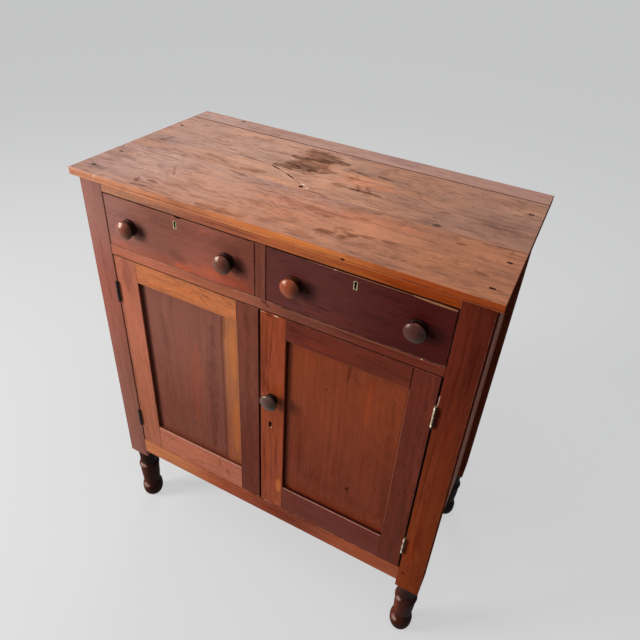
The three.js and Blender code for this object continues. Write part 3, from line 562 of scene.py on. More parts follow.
def woodFinish(name, look, box):
    # one piece's own wood: grain, then dirt in the corners and wear on the edges, painted shade on its sides,
    # then the marks of age with painted shade and highlights among them
    look = {**woodLook, **look}
    finish, tree, shader, spot = newFinish(camel(name))
    low, high = box
    middle = (low + high) / 2
    vector = grainVector(tree, spot, look, middle)
    tone = toneStrip(tree, spot, look["grain"], look["tones"])
    if "across" in look:
        tone = tint(tree, 1.0, tone, toneStrip(tree, spot, *look["across"]))
    grain = putGroup(tree, woodGrain, Vector=vector, Tone=tone, Contrast=look["contrast"],
                     Rings=look["rings"], Curl=look["curl"], Patina=look["patina"], Smoke=look["smoke"])
    color = grain["Color"]
    height = grain["Height"]
    edge = putGroup(tree, wornEdge, Vector=spot, Middle=middle, Half=(high - low) / 2,
                    Width=look["wearWidth"] * mm, Reach=look["dirtReach"] * mm)
    color = tint(tree, times(tree, edge["Dirt"], look["dirt"]), color, dirtTint)
    color = blend(tree, times(tree, edge["Wear"], look["wear"]), color, paint(*look["wearColor"]))
    # painted shade: behind the front face and short of the back, the sides of the board are darkened, as in
    # the gaps and recesses
    if look["sides"]:
        y = splitUp(tree, spot)["Y"]
        deep = ramp(tree, y, low.y + 0.8 * mm, low.y + 3 * mm)
        deep = times(tree, deep, ramp(tree, y, high.y - 0.3 * mm, high.y - 1.5 * mm))
        color = tint(tree, times(tree, deep, look["sides"]), color, sideTint)
    gloss = ramp(tree, grain["Gloss"], 0.1, 0.8, look["rough"] - 0.05, look["rough"] + 0.15)
    if look["marks"]:
        # a dark mark is dull too
        before = brightness(tree, color)
        color, sink = addMarks(tree, spot, color, look, box)
        height = minus(tree, height, sink)
        left = calc(tree, "DIVIDE", brightness(tree, color), before, clamp=True)
        gloss = add(tree, gloss, times(tree, minus(tree, 1.0, left), 0.6), clamp=True)
    feed(tree, color, shader["Base Color"])
    feed(tree, gloss, shader["Roughness"])
    addBump(tree, shader, height, look["bump"], look["bumpDepth"])
    shader["Specular IOR Level"].default_value = look["shine"]
    shader["Specular Tint"].default_value = sheen
    shader["Coat Weight"].default_value = look["coat"]
    shader["Coat Roughness"].default_value = look["coatRough"]
    return finish


# what a metal piece has unless its own look says otherwise
metalLook = {
    "rough": 0.4, "metal": 0.9, "blotches": 160.0, "specks": 900.0, "bump": 0.3, "bumpDepth": 0.2,
    "darkFrom": None, "darkColor": (6, 5, 4), "grime": (), "grimeColor": (8, 6, 5),
}


def metalFinish(name, look):
    # dull old metal, darker in blotches and bright where it is worn; behind darkFrom in Y it is painted
    # black, the shade inside a hole, and so it is along each line of painted shade: two points and half the
    # width in millimetres; a line with a colour of its own is a painted glint
    look = {**metalLook, **look}
    finish, tree, shader, spot = newFinish(name)
    blotch = noise(tree, spot, look["blotches"], 4.0, 0.65)
    speck = noise(tree, spot, look["specks"], 2.0, 0.6)
    tone = blend(tree, ramp(tree, blotch, 0.35, 0.65), paint(*look["color"]), paint(*look["worn"]))
    if look["darkFrom"] is not None:
        deep = ramp(tree, splitUp(tree, spot)["Y"], look["darkFrom"], look["darkFrom"] + 0.3 * mm)
        tone = blend(tree, deep, tone, paint(*look["darkColor"]))
    for start, end, width, *glint in look["grime"]:
        start, end = ([v * mm for v in point] for point in (start, end))
        mask = putGroup(tree, markStroke, Vector=spot, Start=start, End=end, Width=width * mm, Taper=0.0,
                        Soft=0.25, Ragged=0.0)["Mask"]
        tone = blend(tree, mask, tone, paint(*(glint[0] if glint else look["grimeColor"])))
    feed(tree, tone, shader["Base Color"])
    shader["Metallic"].default_value = look["metal"]
    feed(tree, ramp(tree, blotch, 0.3, 0.7, look["rough"] + 0.18, look["rough"]), shader["Roughness"])
    addBump(tree, shader, speck, look["bump"], look["bumpDepth"])
    return finish


def dress(item, finish):
    item.data.materials.clear()
    item.data.materials.append(finish)


def finishPiece(name, build, finishes, node, smoothAngle=None):
    # turns the bmesh into an object that stands for the solid that it replaces and rides on its body
    mesh = bpy.data.meshes.new(name)
    if smoothAngle:
        for face in build.faces:
            face.smooth = True
        for edge in build.edges:
            edge.smooth = len(edge.link_faces) == 2 and edge.calc_face_angle(0) < math.radians(smoothAngle)
    for finish in finishes:
        mesh.materials.append(finish)
    build.to_mesh(mesh)
    build.free()
    item = bpy.data.objects.new(name, mesh)
    bpy.context.scene.collection.objects.link(item)
    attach(item, bodyOf[node])
    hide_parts(node)


def solidCopy(node):
    build = bmesh.new()
    build.from_mesh(nodes[node].data)
    bmesh.ops.remove_doubles(build, verts=build.verts, dist=0.01 * mm)
    bmesh.ops.dissolve_limit(build, angle_limit=math.radians(1), verts=build.verts, edges=build.edges)
    return build


def softenCorners(build, box, corners, width):
    # rounds edges of the box, each named by the two faces that meet there, such as -y+z
    low, high = box
    picked = set()
    for corner in corners.split():
        planes = []
        for sign, axis in (corner[:2], corner[2:]):
            index = "xyz".index(axis)
            planes.append((index, low[index] if sign == "-" else high[index]))
        for edge in build.edges:
            if all(abs(v.co[i] - level) < 0.05 * mm for v in edge.verts for i, level in planes):
                picked.add(edge)
    bmesh.ops.bevel(build, geom=list(picked), offset=width * mm, offset_type="OFFSET", affect="EDGES",
                    segments=3, profile=0.5, material=-1, clamp_overlap=True)


def wornBoard(node, look, frontLook=None, endLook=None):
    # a board from its plain solid, with long edges worn round; its front and ends can have their own finish
    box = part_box(node)
    build = solidCopy(node)
    softenCorners(build, box, look["corners"], look.get("round", woodLook["round"]))
    finishes = [woodFinish(node + "_wood", look, box)]
    build.normal_update()
    if frontLook:
        for face in build.faces:
            face.material_index = 1 if face.normal.y < -0.75 else 0
        finishes.append(woodFinish(node + "_front_wood", {**look, **frontLook}, box))
    if endLook:
        for face in build.faces:
            if abs(face.normal.x) > 0.55:
                face.material_index = len(finishes)
        finishes.append(woodFinish(node + "_end_wood", {**look, **endLook}, box))
    finishPiece(node + "_worn", build, finishes, node)


def plainBoard(node, look):
    # a board whose solid stays as it is, apart from its finish
    dress(nodes[node], woodFinish(node + "_wood", look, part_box(node)))


def boardsOf(looks, firstSeed, **shared):
    # the pieces of a set, each with what they share and a seed for its own stretch of grain
    for seed, (node, look) in enumerate(looks.items(), firstSeed):
        yield node, {**shared, "seed": seed, **look}


topCorners = "-x+z +x+z -x-z +x-z"
topLook = {
    "grain": "x", "face": "top", "rings": 230, "contrast": 0.6, "patina": 1.2, "smoke": 0.72, "curl": 0.6,
    "rough": 0.4,
}
topBoards = {
    "top_front_board": {
        "heart": (-10, -70),
        # the left end's pale tone is partly a painted sheen from the window side
        "tones": [(-420, "bleached"), (-200, "honey"), (0, "apricot"), (320, "honey")],
        "corners": topCorners + " -y+z -y-z -x-y +x-y", "round": 2.2, "wear": 0.3, "dirt": 0.1,
        "shine": 0.12,
        "marks": [
            ("glow", (-62, -134, 107, -125, 42, 0.4), (134, -107, 302, -91, 38, 0.5)),
            ("haze", (-400, -232, -290, -240, 30, 0.5)), ("nail", (-489, -215, -483, -215, 3.8, 1.0)),
            ("streak", (-483, -215, -462, -217, 4, 0.6)), ("nail", (-497, -117, -491, -117, 3.5, 1.0)),
            ("streak", (-491, -117, -470, -119, 4, 0.5)), ("nail", (493, -111, 499, -111, 3.8, 1.0)),
            ("streak", (499, -111, 514, -110, 4, 0.6)), ("nail", (484, -220, 491, -220, 4.0, 1.0)),
            ("streak", (491, -220, 508, -222, 4, 0.6), (-324, -114, -299, -150, 3, 0.45)),
            ("smoke", (-300, -147, -297, -155, 7, 0.7), (-460, -59, -436, -58, 8, 0.9),
                (-350, -211, -339, -235, 11, 0.8), (-345, -246, -303, -246, 9, 0.8),
                (-322, -212, -296, -212, 11, 0.8)),
            ("haze", (-160, -246, -70, -246, 20, 0.9), (-66, -250, -40, -232, 16, 0.6)),
            ("streak", (-205, -56, -148, -62, 5, 0.7)),
            ("smoke", (184, -68, 206, -65, 7, 0.8), (112, -206, 150, -198, 19, 0.85),
                (166, -206, 196, -182, 20, 0.9)),
            ("haze", (76, -139, 110, -139, 9, 0.8), (158, -109, 194, -106, 10, 0.8),
                (140, -162, 157, -200, 9, 0.5)),
            ("smoke", (202, -175, 234, -169, 10, 0.7), (248, -170, 278, -165, 9, 0.7)),
            ("haze", (148, -170, 182, -164, 11, 0.7)), ("dark", (382, -95, 403, -91, 6, 0.9)),
            ("smoke", (444, -180, 470, -183, 11, 0.8)), ("crack", (418, -66, 523, -54, 1.5, 0.9)),
            ("dark", (489, -67, 495, -67, 4, 0.8)),
            ("haze", (60, -236, 130, -240, 18, 0.6), (290, -215, 400, -222, 18, 0.5)),
        ],
    },
    "top_middle_board": {
        "heart": (40, -110), "tones": [(-420, "fawn"), (-220, "straw"), (0, "straw"), (400, "dusty")],
        "corners": topCorners + " +y+z", "round": 2.0, "wear": 0.12, "dirt": 0.05, "shine": 0.1,
        "marks": [
            ("glow", (20, 45, 170, 62, 28, 0.4)),
            ("soak", (-96, 172, -36, 128, 78, 1.0), (-104, 72, -20, 98, 62, 1.0)),
            ("haze", (400, 40, 510, 12, 36, 0.7)), ("nail", (-500, 125, -494, 125, 3.8, 1.0)),
            ("streak", (-494, 125, -470, 126, 4, 0.5)), ("nail", (490, 132, 497, 132, 4.0, 1.0)),
            ("streak", (497, 132, 512, 131, 4, 0.5)), ("smoke", (-500, -27, -489, -27, 6, 0.7)),
            ("haze", (-470, 4, -455, 42, 12, 0.8), (-489, 1, -430, 11, 7, 0.8),
                (-455, 162, -432, 166, 9, 0.8)),
            ("streak", (-510, -10, -255, 44, 1.8, 0.4), (-245, 46, -131, 26, 2.6, 0.9)),
            ("smoke", (-190, -28, -126, -20, 16, 0.6)),
            ("stain", (-132, 42, 0, 62, 24, 1.0), (-90, 66, 20, 80, 20, 0.6),
                (-122, 112, 22, 146, 26, 1.0), (-60, 170, 10, 156, 18, 0.6), (40, 122, 98, 109, 10, 0.8),
                (116, 124, 154, 118, 9, 0.8)), ("glow", (60, 70, 180, 60, 40, 0.5)),
            ("smoke", (54, 76, 86, 77, 12, 0.85), (36, 20, 74, 22, 14, 0.85), (84, 20, 166, 17, 14, 0.95),
                (117, 50, 140, 17, 12, 0.75), (96, 44, 108, 18, 12, 0.75), (232, 90, 250, 72, 8, 0.7)),
            ("streak", (218, 78, 285, 47, 5, 0.6)), ("haze", (278, 80, 312, 74, 7, 0.8)),
            ("dark", (308, 24, 334, 30, 6, 0.8)), ("knot", (316, -44, 331, -43, 12, 0.9)),
            ("haze", (426, 190, 478, 188, 10, 0.8)), ("seam", (-523, 207.9, 523, 207.9, 2.8, 1.0)),
            ("pale", (-100, 4, -38, -22, 6, 0.35)), ("crack", (-137, 30, -106, 18, 3.4, 1.0)),
            ("streak", (-108, 18, -78, 5, 2.4, 0.9)), ("crack", (-80, 6, -52, -10, 3.0, 1.0)),
            ("streak", (-54, -9, -24, -27, 2.4, 0.9)), ("crack", (-19, -37, -10, -41, 7.5, 1.0)),
            ("chip", (-22, -26, -10, -28, 3.4, 0.9), (0, -36, 4, -44, 3.2, 0.7)),
            ("streak", (11, -47, 62, -52, 2.4, 0.8)),
        ],
    },
    "top_back_strip": {
        "heart": (0, -160), "contrast": 0.45, "patina": 0.5, "smoke": 0.35,
        "tones": [(-420, "dusty"), (-80, "fawn"), (120, "bleached")], "corners": topCorners + " +y+z -y+z",
        "round": 1.8, "wear": 0.15, "dirt": 0.4, "dirtReach": 5, "rough": 0.42, "shine": 0.12,
        "rings": 220, "curl": 0.3,
        "marks": [
            ("seam", (-523, 209.6, 523, 209.6, 1.5, 0.9)), ("smoke", (-262, 222, -216, 226, 8, 0.9)),
            ("nail", (-382, 261, -375, 261, 4.0, 1.0)), ("streak", (-375, 261, -352, 262, 4, 0.5)),
        ],
    },
}
topFront = {
    "face": "front", "tones": [(-380, "honey"), (-120, "apricot"), (120, "orange"), (370, "ember")],
    "contrast": 0.8, "patina": 0.8, "smoke": 0.2, "wear": 0.55, "wearColor": (196, 140, 100), "dirt": 0.35,
    "dirtReach": 4, "shine": 0.25,
    "marks": [
        ("amber", (-60, 1248, 190, 1246, 7, 0.8), (190, 1243, 330, 1240, 5, 0.5)),
        ("streak", (40, 1238, 430, 1241, 3, 0.8)), ("nail", (202, 1241, 206, 1241, 3, 1.0)),
        ("gap", (-523, 1234.8, 523, 1234.8, 1.3, 0.8)), ("chip", (-443, 1253, -441, 1247, 2, 0.9)),
        ("streak", (-420, 1243, -120, 1242, 2.5, 0.5)), ("dark", (450, 1240, 520, 1240, 6, 0.4)),
    ],
}
topEnds = {"tones": [(0, (98, 54, 40))], "shine": 0.0, "rough": 0.6, "wear": 0.1, "dirt": 0.4, "marks": ()}
for node, look in boardsOf(topBoards, 1, **topLook):
    wornBoard(node, look, topFront if node == "top_front_board" else None, topEnds)
print("cupboard: top boards")

railCorners = "-y+z -y-z"
caseBoards = {
    "top_rail": {
        "tones": [(-330, "fawn"), (-115, "chestnut"), (100, "cherry"), (315, "ember")], "wear": 0.25,
        "contrast": 0.7,
        "marks": [
            ("streak", (-300, 1217, 420, 1212, 4, 0.4)), ("amber", (150, 1212, 300, 1210, 6, 0.4)),
            ("gap", (-443, 1204.4, -12, 1204.4, 1.1, 1.0), (-12, 1204.4, 443, 1204.4, 2.0, 1.0)),
        ],
    },
    "middle_rail": {
        "tones": [(-330, "clay"), (-115, "chestnut"), (100, "cocoa"), (315, "garnet")], "wear": 0.75,
        "wearWidth": 1.1, "wearColor": (206, 152, 130), "contrast": 0.5,
        "marks": [
            ("dark", (7, 1057, 26, 1046, 9, 1.0)), ("chip", (389, 1057, 393, 1056, 1.4, 0.9)),
            ("streak", (150, 1050, 420, 1049, 5, 0.4)), ("shade", (60, 1058.6, 443, 1058.6, 2.2, 0.8)),
            ("gap", (-443, 1030.6, 443, 1030.6, 1.5, 1.0)), ("pale", (60, 1055, 430, 1055, 1.2, 0.3)),
        ],
    },
    "bottom_rail": {
        "tones": [(-330, "apricot"), (-115, "copper"), (100, "sienna"), (315, "cinnamon")], "wear": 0.6,
        "wearColor": (200, 134, 100), "contrast": 0.6,
        "marks": [
            ("glow", (234, 316, 373, 300, 18, 0.5)), ("streak", (-423, 310, -264, 297, 3, 0.4)),
            ("gap", (-443, 326.4, 443, 326.4, 0.8, 0.7)), ("dark", (-20, 300, 120, 300, 20, 0.3)),
        ],
    },
    "drawer_divider": {
        "grain": "z", "tones": [(1130, "cocoa")], "corners": "-x-y +x-y", "wear": 0.4,
        "marks": [
            ("gap", (-10.4, 1060, -10.4, 1204, 1.0, 0.9), (17.4, 1060, 17.4, 1204, 1.4, 1.0)),
        ],
    },
}
for node, look in boardsOf(caseBoards, 4, grain="x", corners=railCorners):
    wornBoard(node, look)

stileCorners = "-x-y +x-y -y+z -y-z"
doorBoards = {
    "left_door_hinge_stile": {
        "grain": "z", "tones": [(520, "chestnut"), (780, "clay")], "contrast": 0.4, "dirtReach": 6,
        "marks": [
            ("gap", (-439.8, 330, -439.8, 1027, 1.0, 0.8)),
            ("haze", (-405, 1025, -405, 930, 30, 0.7), (-434, 900, -434, 480, 6, 0.7)),
            ("shade", (-369.8, 428, -369.8, 964, 1.4, 0.9)),
            ("seam", (-370.4, 968, -370.4, 1026, 0.8, 0.7), (-370.4, 332, -370.4, 423, 0.8, 0.8)),
            ("dark", (-385, 700, -377, 652, 4, 0.4)), ("streak", (-432, 560, -392, 556, 3, 0.4)),
        ],
    },
    "left_door_meeting_stile": {
        "grain": "z", "tones": [(500, "bitter"), (780, "walnut")], "contrast": 0.6,
        "marks": [
            ("haze", (-33, 930, -39, 601, 12, 0.5)), ("chip", (-12, 330, -6, 330, 1.6, 0.7)),
            ("gap", (-2.6, 330, -2.6, 1027, 1.3, 1.0), (-64.4, 968, -64.4, 1026, 0.9, 0.9)),
            ("seam", (-64.4, 332, -64.4, 423, 0.9, 0.9), (-64.6, 428, -64.6, 964, 0.8, 0.6)),
            ("dark", (-40, 1000, -30, 940, 16, 0.4)),
        ],
    },
    "left_door_top_rail": {
        "grain": "x", "tones": [(-200, "apricot")], "contrast": 0.7, "curl": 2.0, "patina": 0.8,
        "smoke": 0.25,
        "marks": [
            ("streak", (-253, 1019, -217, 1011, 4, 0.5), (-168, 1016, -138, 1000, 4, 0.5),
                (-323, 1008, -276, 1007, 4, 0.4)), ("dark", (-172, 1000, -150, 984, 7, 0.4)),
            ("glow", (-250, 1000, -150, 990, 18, 0.5), (-340, 985, -250, 985, 10, 0.4)),
            ("shade", (-368, 966.2, -240, 966.2, 1.0, 0.7)),
        ],
    },
    "left_door_bottom_rail": {
        "grain": "x", "tones": [(-200, "clay")], "contrast": 0.6, "curl": 1.2,
        "wearColor": (206, 140, 112), "wear": 0.5,
        "marks": [
            ("dust", (-366, 424, -68, 424, 1.7, 0.75)), ("pale", (-210, 374, -180, 376, 4, 0.25)),
            ("glow", (-300, 400, -100, 395, 18, 0.5)),
            ("dark", (-146, 412, -140, 384, 10, 0.5), (-118, 390, -110, 352, 8, 0.5),
                (-225, 362, -205, 356, 10, 0.3)),
        ],
    },
    "right_door_hinge_stile": {
        "grain": "z", "tones": [(520, "bitter"), (780, "garnet")], "contrast": 0.75, "rings": 420,
        "wearColor": (166, 100, 76),
        "marks": [
            ("gap", (378.4, 1027, 378.4, 968, 1.5, 1.0), (439.6, 330, 439.6, 1027, 1.3, 1.0)),
            ("tan", (378, 428, 378, 964, 0.8, 0.4)), ("seam", (378, 332, 378, 423, 0.8, 0.8)),
        ],
    },
    "right_door_meeting_stile": {
        "grain": "z", "tones": [(700, "copper")], "contrast": 0.75, "rings": 300,
        "marks": [
            # the second stroke is the door knob's painted shadow
            ("haze", (10, 1010, 10, 770, 18, 0.8)), ("grime", (48, 762, 64, 752, 16, 0.6)),
            ("dark", (10, 835, 26, 782, 18, 0.5)),
            ("amber", (60, 452, 60, 400, 16, 0.75), (50, 345, 56, 334, 8, 0.4)),
            ("streak", (22, 1005, 20, 840, 4, 0.6), (33, 985, 30, 860, 3, 0.6),
                (50, 640, 50, 480, 4, 0.5), (12, 620, 14, 420, 4, 0.5)),
            ("gap", (2.5, 330, 2.5, 1027, 0.8, 0.9)), ("shade", (72, 428, 72, 964, 1.2, 0.6)),
            # these two strokes paint the keyhole's shade black
            ("nail", (31.25, 667, 31.25, 668, 6.4, 1.0), (31.25, 655, 31.25, 665, 4.6, 1.0)),
            ("chip", (33, 652, 36, 654, 2, 0.7)), ("nail", (20, 1023, 34, 1021, 2, 0.8)),
            ("chip", (40, 1026.5, 52, 1026.5, 1.5, 0.9), (4, 1026.8, 16, 1026.8, 1.0, 0.5),
                (15, 330, 21, 330, 2.2, 0.8)),
        ],
    },
    "right_door_top_rail": {
        "grain": "x", "tones": [(220, "garnet")], "contrast": 0.5, "wearColor": (150, 100, 82),
        "wear": 0.4,
        "marks": [
            ("haze", (76, 1010, 115, 985, 24, 0.7)), ("streak", (88, 1004, 180, 1000, 5, 0.5)),
            ("glow", (110, 985, 240, 985, 16, 0.6)), ("haze", (250, 1000, 370, 990, 26, 0.6)),
            ("seam", (72.6, 968, 72.6, 1026, 0.8, 0.8)),
        ],
    },
    "right_door_bottom_rail": {
        "grain": "x", "tones": [(220, "garnet")], "contrast": 0.4, "wearColor": (150, 100, 84),
        "wear": 0.4, "wearWidth": 2.0,
        "marks": [
            ("dust", (76, 424, 374, 424, 1.9, 0.55)), ("seam", (72.6, 332, 72.6, 423, 0.8, 0.8)),
        ],
    },
}
# sides paints shade on the edges of the door pieces, in the gaps and beside the recessed panels
for node, look in boardsOf(doorBoards, 11, wear=0.45, sides=0.8):
    look["corners"] = railCorners if look["grain"] == "x" else stileCorners
    wornBoard(node, look)

drawerFronts = {
    "left_drawer_front": {
        "tones": [(-415, "mauve"), (-280, "rosewood"), (-150, "rose"), (-35, "cocoa")], "contrast": 0.3,
        "patina": 0.9, "smoke": 0.24, "wear": 0.25, "dirt": 0.2,
        "marks": [
            ("glow", (-435, 1063, -200, 1066, 34, 0.9), (-230, 1068, -20, 1072, 40, 1.0),
                (-150, 1090, -40, 1085, 34, 0.6), (-436, 1080, -380, 1075, 26, 0.6)),
            ("haze", (-300, 1175, -60, 1165, 40, 0.5)), ("dark", (-249, 1106, -205, 1084, 20, 0.3)),
            ("glow", (-163, 1186, -138, 1185, 10, 0.5)), ("crack", (-226, 1201, -209, 1201, 2.6, 1.0)),
            ("haze", (-60, 1160, -30, 1100, 16, 0.6)), ("shade", (-441, 1064, -441, 1200, 1.6, 0.7)),
            # painted shadows of the knobs, the dark strokes just right of each knob
            ("grime", (-352, 1130, -328, 1122, 22, 0.75)), ("shade", (-343, 1129, -337, 1123, 15, 0.55)),
            ("grime", (-70, 1128, -46, 1118, 22, 0.75)), ("shade", (-61, 1129, -55, 1123, 15, 0.55)),
        ],
    },
    "right_drawer_front": {
        "tones": [(100, "plum"), (400, "oxblood")], "contrast": 0.4, "patina": 0.8, "smoke": 0.5,
        "wear": 0.45, "wearColor": (140, 92, 76), "dirt": 0.3,
        "marks": [
            ("tan", (350, 1201, 441, 1198.5, 3.2, 0.8), (90, 1201.5, 355, 1201, 1.3, 0.7)),
            ("dark", (299, 1179, 333, 1178, 9, 0.6), (105, 1096, 179, 1093, 7, 0.4)),
            ("chip", (180, 1201, 186, 1201, 1.4, 0.7)), ("glow", (120, 1075, 330, 1078, 24, 0.4)),
            # painted shadows of the knobs, the dark strokes just right of each knob
            ("haze", (60, 1180, 200, 1176, 22, 0.5)), ("grime", (105, 1130, 127, 1122, 20, 0.7)),
            ("shade", (114, 1129, 120, 1123, 15, 0.5)), ("grime", (386, 1130, 406, 1122, 20, 0.7)),
            ("shade", (396, 1129, 402, 1123, 15, 0.5)),
        ],
    },
}
# sides paints shade on the edges of the drawer fronts, in their gaps
for node, look in boardsOf(drawerFronts, 21, grain="x", corners=stileCorners, sides=0.8):
    wornBoard(node, look)
print("cupboard: rails, door frames and drawer fronts")

plainBoards = {
    "left_door_panel": {
        "grain": "z", "tones": [(515, "walnut"), (865, "rosewood")], "contrast": 0.3, "patina": 0.4,
        "smoke": 0.2, "heart": (-160, 190), "rings": 160,
        "marks": [
            ("glow", (-207, 823, -221, 530, 36, 0.6)),
            ("haze", (-148, 910, -165, 452, 26, 0.8), (-310, 880, -300, 760, 30, 0.4)),
            ("sap", (-82, 985, -86, 405, 38, 1.0)),
            ("amber", (-86, 930, -86, 760, 24, 0.4), (-82, 680, -84, 480, 24, 0.4)),
            ("streak", (-118, 950, -122, 430, 9, 0.5)), ("dark", (-112, 960, -112, 890, 16, 0.5)),
            ("shade", (-372, 420, -372, 970, 9, 0.9), (-370, 966, -240, 966, 2.5, 0.7)),
            ("seam", (-65.5, 425, -65.5, 966, 1.0, 0.7)),
        ],
    },
    "right_door_panel": {
        "grain": "z", "tones": [(515, "sienna"), (865, "russet")], "contrast": 0.4, "patina": 0.45,
        "smoke": 0.24, "heart": (130, 220), "rings": 160,
        "marks": [
            ("glow", (290, 930, 286, 800, 30, 0.6), (184, 950, 222, 945, 16, 0.4),
                (130, 950, 150, 900, 16, 0.4)), ("dark", (236, 966, 232, 905, 7, 0.6)),
            ("haze", (246, 935, 262, 905, 14, 0.6)), ("streak", (222, 780, 223, 720, 3, 0.6)),
            ("knot", (180, 852, 181, 860, 4, 0.7), (262, 532, 262, 538, 8, 0.9)),
            ("dark", (252, 522, 272, 550, 4, 0.6), (256, 554, 267, 518, 4, 0.6)),
            ("haze", (350, 900, 366, 474, 22, 0.6), (122, 522, 358, 480, 50, 0.3),
                (110, 760, 116, 520, 24, 0.5)),
            ("shade", (73, 420, 73, 970, 6, 0.95), (76, 966, 376, 966, 1.6, 0.6),
                (373.5, 425, 373.5, 966, 1.2, 0.6)),
        ],
    },
    "left_side_board": {"grain": "z", "tones": [(700, (112, 64, 50))], "contrast": 0.5, "heart": (40, 90)},
    "right_side_board": {
        "grain": "z", "tones": [(700, (126, 66, 48))], "contrast": 0.5, "heart": (-40, 90), "rough": 0.5,
        "shine": 0.02,
    },
}
# the back and the inside are of plainer wood, each with one tone
backTones = {"lower": (172, 136, 106), "middle": (164, 128, 98), "upper": (178, 142, 112)}
backLook = {"grain": "x", "contrast": 0.6, "rough": 0.7, "dirt": 0.9, "dirtReach": 7}
insideLook = {"tones": [(0, (158, 122, 90))], "contrast": 0.6, "rough": 0.7}
for place, tone in backTones.items():
    plainBoards[place + "_back_board"] = {**backLook, "tones": [(0, tone)]}
for node in ("floor_board", "shelf"):
    plainBoards[node] = {**insideLook, "grain": "x"}
for place in ("left", "center", "right"):
    plainBoards[place + "_runner"] = {**insideLook, "grain": "y"}
plainBoards["door_stop"] = {"grain": "x", "tones": [(0, (112, 68, 50))]}
plainBoards["left_door_button"] = {"grain": "x", "tones": [(0, (118, 76, 54))]}
for node, look in boardsOf(plainBoards, 31):
    plainBoard(node, look)

drawerLook = {"tones": [(0, (168, 138, 102))], "rough": 0.65, "shine": 0.12}
drawerGrain = {"left_side": "y", "right_side": "y", "back": "x", "bottom": "x"}
for side, firstSeed in (("left", 51), ("right", 56)):
    drawerBox = {f"{side}_drawer_{part}": {"grain": grain} for part, grain in drawerGrain.items()}
    for node, look in boardsOf(drawerBox, firstSeed, **drawerLook):
        plainBoard(node, look)
print("cupboard: panels, sides, back, inside and drawer boxes")


def curve(points, steps):
    # a smooth line of (radius, height) through the given points, in metres
    line = []
    last = len(points) - 1
    for i in range(last):
        p0, p1, p2, p3 = (Vector(points[max(0, min(last, i + k))]) for k in (-1, 0, 1, 2))
        for s in range(steps):
            t = s / steps
            bend = (2 * p0 - 5 * p1 + 4 * p2 - p3) * t * t
            twist = (3 * p1 - p0 - 3 * p2 + p3) * t ** 3
            line.append(0.5 * (2 * p1 + (p2 - p0) * t + bend + twist))
    line.append(Vector(points[-1]))
    return [(max(0.0, p[0]) * mm, p[1] * mm) for p in line]


def turnProfile(build, line, matrix, steps=48):
    # spins the line about Z, closes it on the axis at both ends and puts it in place
    before = set(build.verts)
    verts = [build.verts.new((r, 0, h)) for r, h in [(0.0, line[0][1])] + line + [(0.0, line[-1][1])]]
    edges = [build.edges.new(pair) for pair in zip(verts, verts[1:])]
    bmesh.ops.spin(build, geom=verts + edges, cent=(0, 0, 0), axis=(0, 0, 1), angle=math.tau, steps=steps,
                   use_merge=True)
    fresh = [v for v in build.verts if v not in before]
    bmesh.ops.remove_doubles(build, verts=fresh, dist=0.005 * mm)
    fresh = [v for v in build.verts if v not in before]
    faces = [f for f in build.faces if f.verts[0] not in before]
    bmesh.ops.recalc_face_normals(build, faces=faces)
    bmesh.ops.transform(build, matrix=matrix, verts=fresh)
    return faces


# each corner post is square down to its shoulder, then turned; sizes in millimetres
foot = {
    "shoulder": 243.05,
    "intoSquare": 6,
    "profile": [
        (8.0, 0.3), (15.5, 2.6), (23.0, 8.0), (29.0, 17), (32.4, 29), (33.2, 42), (32.6, 52), (30.6, 60),
        (27.2, 66.5), (25.6, 70.5), (25.9, 75), (27.6, 86), (29.4, 112), (30.4, 142), (30.4, 149),
        (29.4, 151.5), (31.0, 154), (32.8, 159), (32.9, 162.5), (31.2, 167.5), (27.8, 171.5), (26.2, 176),
        (26.6, 186), (27.6, 206), (29.4, 226), (31.6, 238), (32.6, 243.2),
    ],
    "steps": 4,
    "smooth": 35,
    "squareCorners": "-x-y +x-y -x+y +x+y",
    "squareRound": 1.4,
    "finish": {
        # the neck under the square is darker, painted shade
        "tones": [
            (0, (74, 35, 26)), (120, (96, 46, 33)), (160, (96, 47, 35)), (185, (66, 32, 24)),
            (243, (70, 34, 26)),
        ],
        "rough": 0.4, "shine": 0.0, "coat": 0.12, "coatRough": 0.26, "wear": 0.0, "dirt": 0.0, "depth": 5,
    },
    # painted shade: the turning is darker towards the right, away from the window lamp, at the post's left
    # side, middle and right side
    "darkSide": [(255, 250, 246), (182, 176, 172), (124, 118, 118)],
    "darkStep": 33.5,
}
